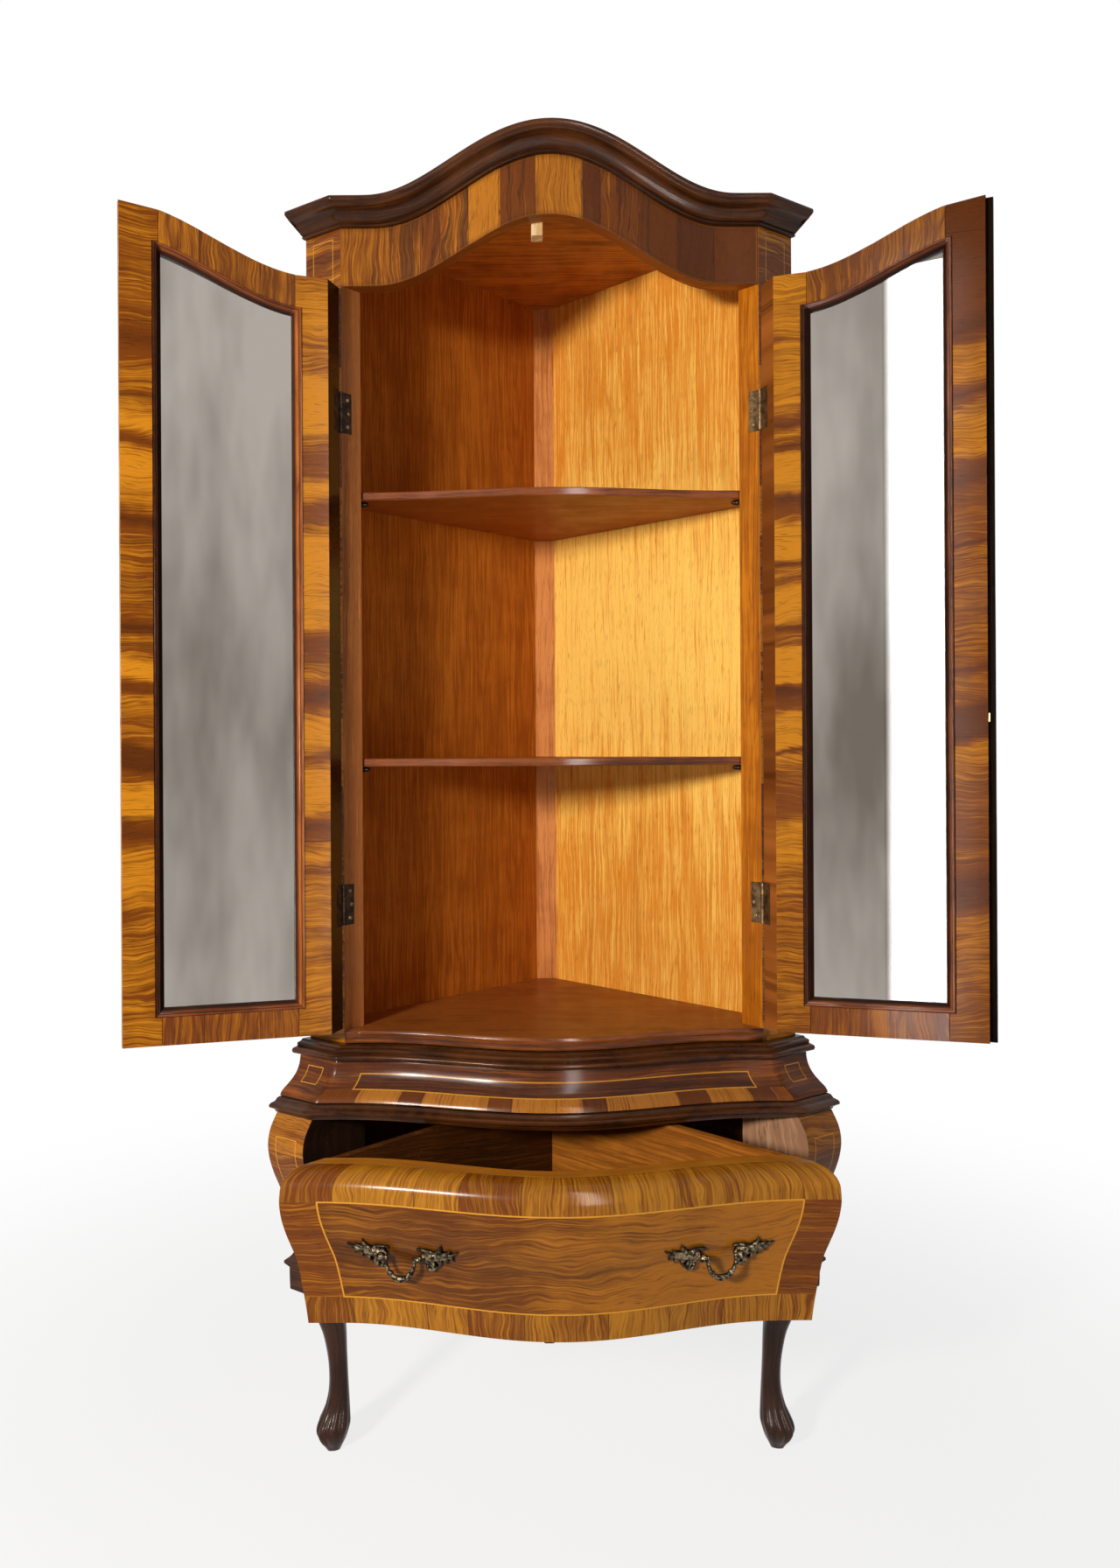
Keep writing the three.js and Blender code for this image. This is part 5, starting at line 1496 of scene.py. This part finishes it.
def rearLeg(steps=24):  # square, its foot drawn back towards the corner
    low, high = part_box("rear_leg")
    middle = (low.x + high.x) / 2
    rows = []
    for i in range(steps + 1):
        half = leg["rearHalf"] - leg["rearTaper"] * (1 - i / steps) ** 1.4
        edge = min(half, leg["rearEdge"])
        corners = []
        for x, y, turn in ((1, 1, 0), (-1, 1, 90), (-1, -1, 180), (1, -1, 270)):
            for k in range(5):
                angle = math.radians(turn + 22.5 * k)
                across = middle + x * (half - edge) + edge * math.cos(angle)
                back = high.y - half + y * (half - edge) + edge * math.sin(angle)
                corners.append(Vector((across, back, high.z * i / steps)))
        rows.append(corners)

    def layRear(i, j):
        return (high.z * i / steps, j * 9 * mm, 3), (0, 0, 0)

    return loft("rear_leg_tapered", rows, layRear, [rearWood], smooth=50)


rearWood = plainWood("rear leg wood", "leg", tone=0.6, bump=0.2)
keep(rearLeg(), "carcass", "dark_wood", "rear_leg")
print("legs carved")

handle = {
    "aside": 207 * mm,
    "up": 404 * mm,
    "span": 48 * mm,
    "rise": 29 * mm,
    "plate": 3 * mm,
    "stand": 7 * mm,
    "bailHalf": 19 * mm,
    "bailDrop": 27 * mm,
    "boss": 7 * mm,
    "shoulder": 2.6 * mm,
    "voxel": 0.6 * mm,
    "swell": 1.6,
    "bailSwell": 1.3,
    # strokes of a leaf casting: points of (along, up, depth in mm, radius in mm)
    "strokes": [
        [(0.0, 0.0, 3.4, 3.0), (0.16, 0.06, 2.8, 3.2), (0.36, 0.1, 2.8, 3.3), (0.6, 0.14, 2.4, 2.6),
         (0.82, 0.25, 2.0, 1.8), (1.0, 0.42, 1.6, 0.8)],
        [(0.34, 0.12, 2.4, 2.6), (0.46, 0.32, 2.6, 2.4), (0.54, 0.5, 2.2, 1.5), (0.56, 0.66, 1.6, 0.7)],
        [(0.36, 0.2, 2.2, 2.2), (0.2, 0.34, 2.6, 2.0), (0.04, 0.38, 2.2, 1.5), (-0.1, 0.36, 1.8, 1.4)],
        [(0.12, 0.0, 2.8, 2.8), (0.24, -0.2, 3.0, 2.7), (0.3, -0.42, 2.8, 2.4), (0.22, -0.58, 2.4, 1.9),
         (0.1, -0.52, 2.2, 1.6), (0.12, -0.38, 2.6, 1.7)],
        [(0.4, 0.06, 2.4, 2.4), (0.48, -0.14, 2.4, 2.0), (0.44, -0.34, 2.0, 1.3), (0.36, -0.48, 1.6, 0.9)],
        [(0.58, 0.12, 2.2, 2.0), (0.68, -0.04, 2.0, 1.6), (0.66, -0.18, 1.6, 0.9)],
        [(0.74, 0.2, 2.0, 1.7), (0.84, 0.08, 1.8, 1.3), (0.86, -0.02, 1.5, 0.8)],
        [(0.66, 0.18, 2.0, 1.7), (0.72, 0.34, 2.0, 1.4), (0.8, 0.44, 1.6, 0.8)],
        [(0.2, 0.1, 4.2, 1.7), (0.32, 0.18, 4.6, 1.8), (0.44, 0.2, 4.2, 1.4)],
        [(0.16, -0.1, 4.2, 1.5), (0.24, -0.24, 4.6, 1.5), (0.26, -0.38, 4.2, 1.2)],
        [(0.5, 0.12, 4.0, 1.3), (0.64, 0.18, 4.0, 1.3), (0.78, 0.26, 3.2, 1.0)],
        [(0.08, 0.02, 3.0, 2.6), (0.04, 0.0, 6.0, 2.4), (0.0, 0.0, 9.0, 3.2), (0.0, 0.0, 10.4, 3.6)],
    ],
    # the shell and knops of a bail: points of (along, up, forward in mm, radius in mm)
    "shell": [
        [(0.0, -0.98, 0.0, 3.6), (0.0, -1.04, 0.0, 3.0)],
        [(-0.2, -0.98, 0.6, 2.4), (-0.3, -0.93, 0.4, 2.4)],
        [(0.2, -0.98, 0.6, 2.4), (0.3, -0.93, 0.4, 2.4)],
        [(-0.1, -0.96, 1.6, 1.7), (-0.12, -1.06, 1.2, 1.3)],
        [(0.1, -0.96, 1.6, 1.7), (0.12, -1.06, 1.2, 1.3)],
        [(-0.62, -0.72, 0.0, 2.6), (-0.56, -0.77, 0.0, 2.6)],
        [(0.62, -0.72, 0.0, 2.6), (0.56, -0.77, 0.0, 2.6)],
    ],
}


def bronzeMaterial():
    material, tree, shader, _ = startMaterial("blackened bronze")
    spots = objectSpots(tree)
    cloud = noiseAt(tree, spots, 220.0, 4.0, 0.65)
    rubbed = times(tree, split(tree, attribute(tree, "spot"))[2], remap(tree, cloud, 0.42, 0.62))
    color = blendColor(tree, remap(tree, cloud, 0.35, 0.7), srgb(18, 14, 10), srgb(48, 38, 26))
    color = blendColor(tree, times(tree, rubbed, 0.6), color, srgb(172, 150, 112))
    rough = timesPlus(tree, rubbed, -0.2, 0.46)
    feed(tree, shader, {"Metallic": 0.85, "Base Color": color, "Roughness": rough})
    addBump(tree, shader, 0.5, 0.3 * mm, noiseAt(tree, spots, 900.0, 2.0, 0.6))
    return material


bronze = bronzeMaterial()


def smoothPath(points, steps=5):  # rows of equal length, joined by a smooth curve
    run = [(float(i), *p) for i, p in enumerate(points)]
    out = []
    for i in range((len(points) - 1) * steps + 1):
        at = i / steps
        out.append(tuple(tableAt([(row[0], row[k + 1]) for row in run], at) for k in range(len(points[0]))))
    return out


def addTube(bm, centers, radii, sides=12):  # a closed round tube with domed ends
    count = len(centers)
    rings = []
    for i, (center, radius) in enumerate(zip(centers, radii)):
        ahead = centers[min(i + 1, count - 1)] - centers[max(i - 1, 0)]
        rings.append((center, ahead.to_track_quat("Z", "Y").to_matrix(), radius, ahead.normalized()))
    domes = ((0.98, 0.2), (0.8, 0.6), (0.45, 0.9))  # how far out and how wide each ring of a dome is
    center, turn, radius, ahead = rings[0]
    body = [(center - ahead * radius * lift, turn, radius * share) for lift, share in domes]
    body += [ring[:3] for ring in rings]
    center, turn, radius, ahead = rings[-1]
    body += [(center + ahead * radius * lift, turn, radius * share) for lift, share in reversed(domes)]
    circle = [Vector((math.cos(angleAt(j, sides)), math.sin(angleAt(j, sides)), 0)) for j in range(sides)]
    verts = [[bm.verts.new(center + turn @ p * radius) for p in circle] for center, turn, radius in body]
    for low, high in zip(verts, verts[1:]):
        for j in range(sides):
            k = (j + 1) % sides
            bm.faces.new((low[j], low[k], high[k], high[j]))
    bm.faces.new(list(reversed(verts[0])))
    bm.faces.new(verts[-1])


def cast(name, bm, wearAt):  # shapes fused into one skin, as a casting is
    mesh = bpy.data.meshes.new(name)
    bm.to_mesh(mesh)
    bm.free()
    rough = newObject(name, mesh)
    fuse = rough.modifiers.new("fused", "REMESH")
    fuse.mode = "VOXEL"
    fuse.voxel_size = handle["voxel"]
    ease = rough.modifiers.new("eased", "SMOOTH")
    ease.factor = 0.5
    ease.iterations = 2
    graph = bpy.context.evaluated_depsgraph_get()
    skin = bpy.data.meshes.new_from_object(rough.evaluated_get(graph))
    rough.modifiers.clear()
    rough.data = skin
    skin.name = name
    skin.materials.clear()
    skin.materials.append(bronze)
    bm = bmesh.new()
    bm.from_mesh(skin)
    grain, spot = layers(bm)
    for face in bm.faces:
        for loop in face.loops:
            co = loop.vert.co
            loop[grain] = (co.x, co.z, 0)
            loop[spot] = (0, 0, wearAt(co))
    bm.to_mesh(skin)
    bm.free()
    skin.polygons.foreach_set("use_smooth", [True] * len(skin.polygons))
    return rough


def handleFrame():  # middle of a right handle's bail, its turn, and the stretch of the face there
    z = handle["up"]
    out = swellAt(z) + plan["gap"] + handle["plate"] + handle["stand"]
    stretch = 1 + out / plan["halfFront"]

    def onFace(along, forward, up):
        across = (handle["aside"] + along) / stretch
        k = 1 + forward / plan["halfFront"]
        return Vector((across * k, frontAt(across) - forward - drawer["out"], up))

    bossAt = handle["bailHalf"] + handle["shoulder"] + handle["boss"] / 2
    ends = [onFace(way * bossAt, out, z) for way in (-1, 1)]
    middle = (ends[0] + ends[1]) / 2
    turn = math.atan2(ends[1].y - ends[0].y, ends[1].x - ends[0].x)
    return onFace, bossAt, middle, turn


def leafCasting(name, hand, way):
    onFace, bossAt, middle, turn = handleFrame()
    bm = bmesh.new()

    def at(a, b, depth):
        along = way * (a * handle["span"] + bossAt)
        up = handle["up"] + b * handle["rise"]
        point = onFace(along, swellAt(up) + plan["gap"] + depth * mm, up)
        return atPlan(hand * point.x, point.y, point.z)

    for stroke in handle["strokes"]:
        path = smoothPath(stroke)
        addTube(bm, [at(a, b, d) for a, b, d, _ in path], [r * mm * handle["swell"] for *_, r in path])
    web = [at(a * 0.5 + 0.2, b, 1.2) for a, b in ((-0.2, 0.1), (0.2, 0.12), (0.6, 0.16), (1.0, 0.3))]
    addTube(bm, web, [7.0 * mm, 7.5 * mm, 6.0 * mm, 3.5 * mm])
    aim = Matrix.Rotation(turn, 3, "Z") @ Vector((way, 0, 0))
    aim.x *= hand
    reach = Vector((hand * middle.x, middle.y, middle.z))
    start = atPlan(*reach) + aim * (handle["bailHalf"] + handle["shoulder"])
    centers = [start + aim * handle["boss"] * t for t in (0.12, 0.35, 0.65, 0.88)]
    addTube(bm, centers, [r * mm for r in (3.4, 4.2, 4.2, 3.4)], 20)

    def wearAt(co):
        x, y, z = co - origin
        across = abs(x) / (1 + swellAt(z) / plan["halfFront"])
        stand = frontAt(across) - swellAt(z) - drawer["out"] - y
        return min(max((stand / mm - 3.6) / 3.0, 0), 1)

    return cast(name, bm, wearAt)


def bailCasting(name, hand):
    _, _, middle, turn = handleFrame()
    middle = atPlan(hand * middle.x, middle.y, middle.z)
    setting = Matrix.Translation(middle) @ Matrix.Rotation(hand * turn, 4, "Z")
    half, drop = handle["bailHalf"], handle["bailDrop"]

    def at(along, forward, up):
        return setting @ Vector((along * half, -forward * mm, up * drop))

    shares = [(-1, 0, 2.3), (-0.99, -0.35, 2.1), (-0.76, -0.74, 2.4), (-0.34, -0.95, 3.0), (0, -1, 3.4)]
    shares += [(-a, b, r) for a, b, r in reversed(shares[:-1])]
    bm = bmesh.new()
    path = smoothPath(shares, 6)
    addTube(bm, [at(a, 0, b) for a, b, _ in path], [r * mm * handle["bailSwell"] for *_, r in path])
    for knop in handle["shell"]:
        addTube(bm, [at(a, f, b) for a, b, f, _ in knop], [r * mm for *_, r in knop])
    stubs = (0, 5 * mm, handle["shoulder"] + 6.5 * mm)
    for way in (-1, 1):
        addTube(bm, [setting @ Vector((way * (half + t), 0, 0)) for t in stubs], [1.4 * mm] * 3)

    def wearAt(co):
        return min(max(-(setting.inverted() @ co).y / (3 * mm), 0), 1)

    return cast(name, bm, wearAt)


for side, hand in hands.items():
    for part, way in (("inner", -1), ("outer", 1)):
        node = f"handle_{side}_{part}_leaf"
        keep(leafCasting(f"{node}_cast", hand, way), "drawer", "bronze", node)
    keep(bailCasting(f"bail_{side}_cast", hand), f"{side}_bail", "bronze", f"handle_{side}_bail")
print("handles cast")

hinge = {
    "heights": (826 * mm, 1562 * mm),
    "in": 11.5 * mm,
    "stagger": 2.5 * mm,
    "spread": 20 * mm,
    "screw": 2.7 * mm,
    "proud": 0.35 * mm,
    "turnSpread": 3.1,
    "seed": 4,
}


def metalMaterial(name, low, high, rough, metallic=1.0, scale=90.0):
    material, tree, shader, _ = startMaterial(name)
    spots = objectSpots(tree)
    cloud = noiseAt(tree, spots, scale, 5.0, 0.65)
    color = blendColor(tree, remap(tree, cloud, 0.35, 0.68), srgb(*low), srgb(*high))
    worn = remap(tree, cloud, 0.3, 0.7, rough + 0.15, rough)
    feed(tree, shader, {"Metallic": metallic, "Base Color": color, "Roughness": worn})
    addBump(tree, shader, 0.35, 0.2 * mm, noiseAt(tree, spots, scale * 9, 3.0, 0.7))
    return material


# the left hinges get a darker copy of the metal: painted shade
hingeMetals = {
    "left": metalMaterial("hinge metal in painted shade", (26, 18, 12), (66, 48, 32), 0.5, 0.7),
    "right": metalMaterial("tarnished hinge metal", (70, 48, 30), (134, 108, 70), 0.42, 0.8),
}
screwMetal = metalMaterial("screw metal", (88, 66, 42), (168, 142, 98), 0.35, 0.9, 160.0)
ironMetal = metalMaterial("black iron", (18, 17, 18), (46, 44, 46), 0.38, 0.6)
brassMetal = metalMaterial("pale brass", (170, 132, 84), (226, 194, 142), 0.32, 0.85)
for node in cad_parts:
    if node.startswith("hinge_"):
        dress(node, hingeMetals["left" if "left" in node else "right"])
dress("lock_bolt", brassMetal)


def screwTree():  # a countersunk head on each point of a plate, its slot turned at random
    tree = bpy.data.node_groups.new("screws on a plate", "GeometryNodeTree")
    addSocket(tree, "Points", "Geometry")
    for label, value in (("Radius", 2.7 * mm), ("Proud", 0.4 * mm), ("Turn Spread", 3.0)):
        addSocket(tree, label, "Float", value)
    addSocket(tree, "Seed", "Int")
    addSocket(tree, "Material", "Material")
    addSocket(tree, "Geometry", "Geometry", way="OUTPUT")
    given, final = treeEnds(tree)
    radius, proud = given["Radius"], given["Proud"]
    cone = {
        "Vertices": 20, "Radius Top": times(tree, radius, 0.86), "Radius Bottom": radius, "Depth": proud,
    }
    disc = place(tree, "GeometryNodeMeshCone", cone).outputs[0]
    slotSize = joinVector(
        tree, times(tree, radius, 2.4), times(tree, radius, 0.26), times(tree, proud, 1.2)
    )
    slot = place(tree, "GeometryNodeMeshCube", {0: slotSize}).outputs[0]
    lift = joinVector(tree, 0.0, 0.0, times(tree, proud, 1.1))
    raised = place(tree, "GeometryNodeTransform", {"Geometry": slot, "Translation": lift}).outputs[0]
    head = place(tree, "GeometryNodeMeshBoolean", {0: disc, 1: raised}, operation="DIFFERENCE").outputs[0]
    spread = {"Seed": given["Seed"], "Min": 0.0, "Max": given["Turn Spread"]}
    spun = place(tree, "FunctionNodeRandomValue", spread, data_type="FLOAT").outputs[1]
    named = {"Name": "facing"}
    way = place(tree, "GeometryNodeInputNamedAttribute", named, data_type="FLOAT_VECTOR").outputs[0]
    facing = place(tree, "FunctionNodeAlignRotationToVector", {"Vector": way}, axis="Z").outputs[0]
    turns = {"Rotation": facing, 1: joinVector(tree, 0.0, 0.0, spun)}
    turned = place(tree, "FunctionNodeRotateRotation", turns, rotation_space="LOCAL").outputs[0]
    heads = {"Points": given["Points"], "Rotation": turned, "Instance": head}
    placed = place(tree, "GeometryNodeInstanceOnPoints", heads).outputs[0]
    feed(tree, final, {"Geometry": realMesh(tree, placed, given["Material"])})
    return tree


def screwHeads(name, spots):  # spots: (point, facing) pairs
    mesh = bpy.data.meshes.new(name)
    mesh.from_pydata([p for p, _ in spots], [], [])
    facing = mesh.attributes.new("facing", "FLOAT_VECTOR", "POINT")
    facing.data.foreach_set("vector", [c for _, n in spots for c in n])
    values = {
        "Radius": hinge["screw"], "Proud": hinge["proud"], "Turn Spread": hinge["turnSpread"],
        "Seed": hinge["seed"], "Material": screwMetal,
    }
    piece = grow(name, mesh, screwTree(), values)
    smoothed(piece.data, 30)
    return piece


halfTurn = math.sqrt(0.5)
leafIn = Vector((-halfTurn, halfTurn, 0))  # a case leaf runs in at 45 degrees, and faces the doorway
leafBack = Vector((halfTurn, halfTurn, 0))


def hingeSpots(hand):  # points and facings of the screws in the case leaves of one side
    spots = []
    for z in hinge["heights"]:
        for k in (-1, 0, 1):
            start = Vector((plan["halfFront"], 0, z + k * hinge["spread"]))
            inwards = hinge["in"] + (hinge["stagger"] if k == 0 else 0)
            point = start + leafIn * inwards - leafBack * 0.1 * mm
            facing = Vector((-hand * leafBack.x, -leafBack.y, 0))
            spots.append((atPlan(hand * point.x, point.y, point.z), facing))
    return spots


keep(screwHeads("hinge_screws_case", hingeSpots(-1) + hingeSpots(1)), "carcass", "hinge_metal")
print("hinges and screws set")

dress("pull_rosette", brassMetal)
dress("pull_ring", ironMetal)
print("pull set")

view = {
    "place": (-55 * mm, -1733 * mm, 1055 * mm),
    "lens": 26.64,
    "shift": (0.02846, -0.0212),
    "roll": 0.0055,
}


def addCamera():
    data = bpy.data.cameras.new("camera")
    data.lens = view["lens"]
    data.shift_x, data.shift_y = view["shift"]
    data.clip_start = 0.05
    camera = newObject("camera", data)
    camera.location = atPlan(*view["place"])
    camera.rotation_euler = (math.pi / 2, view["roll"], 0)
    bpy.context.scene.camera = camera


lamps = {
    "key": {
        "place": (-1.6, -2.45, 1.55), "aim": (0.0, 0.1, 1.15), "size": 0.4, "watts": 80,
        "color": (1, 0.95, 0.88),
    },
}


def addLamps():
    for name, spec in lamps.items():
        data = bpy.data.lights.new(name, "AREA")
        data.shape = "DISK"
        data.size = spec["size"]
        data.energy = spec["watts"]
        data.color = spec["color"]
        lamp = newObject(name, data)
        lamp.location = spec["place"]
        lamp.rotation_euler = (Vector(spec["aim"]) - lamp.location).to_track_quat("-Z", "Y").to_euler()


def seenShare(tree):  # 1 where the camera, or a mirror or glass, sees it
    path = place(tree, "ShaderNodeLightPath").outputs
    seen = plus(tree, path["Is Camera Ray"], path["Is Glossy Ray"])
    return plus(tree, seen, path["Is Transmission Ray"], clamp=True)


def addWorld():
    world = bpy.data.worlds.new("studio")
    world.use_nodes = True
    tree = world.node_tree
    tree.nodes.clear()
    strength = timesPlus(tree, seenShare(tree), 0.86, 0.14)
    back = place(tree, "ShaderNodeBackground", {"Color": (1, 1, 1, 1), "Strength": strength})
    output = tree.nodes.new("ShaderNodeOutputWorld")
    tree.links.new(back.outputs[0], output.inputs[0])
    bpy.context.scene.world = world


def addFloor():
    bm = bmesh.new()
    bmesh.ops.create_grid(bm, x_segments=8, y_segments=8, size=9.0)
    bmesh.ops.translate(bm, verts=bm.verts, vec=(0, 3, 0))
    layers(bm)
    material, tree, shader, output = startMaterial("studio floor")
    feed(tree, shader, {"Base Color": (0.9, 0.9, 0.9, 1), "Roughness": 0.9, "Specular IOR Level": 0.1})
    away = place(tree, "ShaderNodeVectorMath", {0: objectSpots(tree)}, operation="LENGTH").outputs["Value"]
    blank = remap(tree, away, 0.5, 2.0, 0.8, 1.0)
    white = place(tree, "ShaderNodeEmission", {"Color": (1, 1, 1, 1), "Strength": 1.0})
    share = times(tree, seenShare(tree), blank)
    mixShaders(tree, output, share, shader, white)
    floor = finishMesh("floor", bm, [material])


card = {"low": (0.19, -1.4, 0.33), "high": (0.4, -1.4, 2.25), "strength": 22.0, "soft": 0.025}


def addCard():  # a tall white card beside the camera, seen only in polish and glass
    low, high = card["low"], card["high"]
    bm = bmesh.new()
    layers(bm)
    bmesh.ops.create_grid(bm, x_segments=2, y_segments=12, size=0.5)
    for vert in bm.verts:
        across, up = vert.co.x + 0.5, vert.co.y + 0.5
        vert.co = Vector((low[0] + (high[0] - low[0]) * across, low[1], low[2] + (high[2] - low[2]) * up))
    material, tree, _, output = startMaterial("reflecting card")
    path = place(tree, "ShaderNodeLightPath").outputs
    x = split(tree, objectSpots(tree))[0]
    left = remap(tree, x, low[0], low[0] + card["soft"])
    right = remap(tree, x, high[0] - card["soft"], high[0], 1.0, 0.0)
    strength = times(tree, times(tree, left, right), card["strength"])
    white = place(tree, "ShaderNodeEmission", {"Color": (1, 1, 1, 1), "Strength": strength})
    mixShaders(tree, output, path["Is Glossy Ray"], place(tree, "ShaderNodeBsdfTransparent"), white)
    finishMesh("card", bm, [material])


addCamera()
addCard()
addLamps()
addWorld()
addFloor()
scene = bpy.context.scene
scene.view_settings.view_transform = "Standard"
print("camera, light and floor set")

bpy.context.view_layer.update()
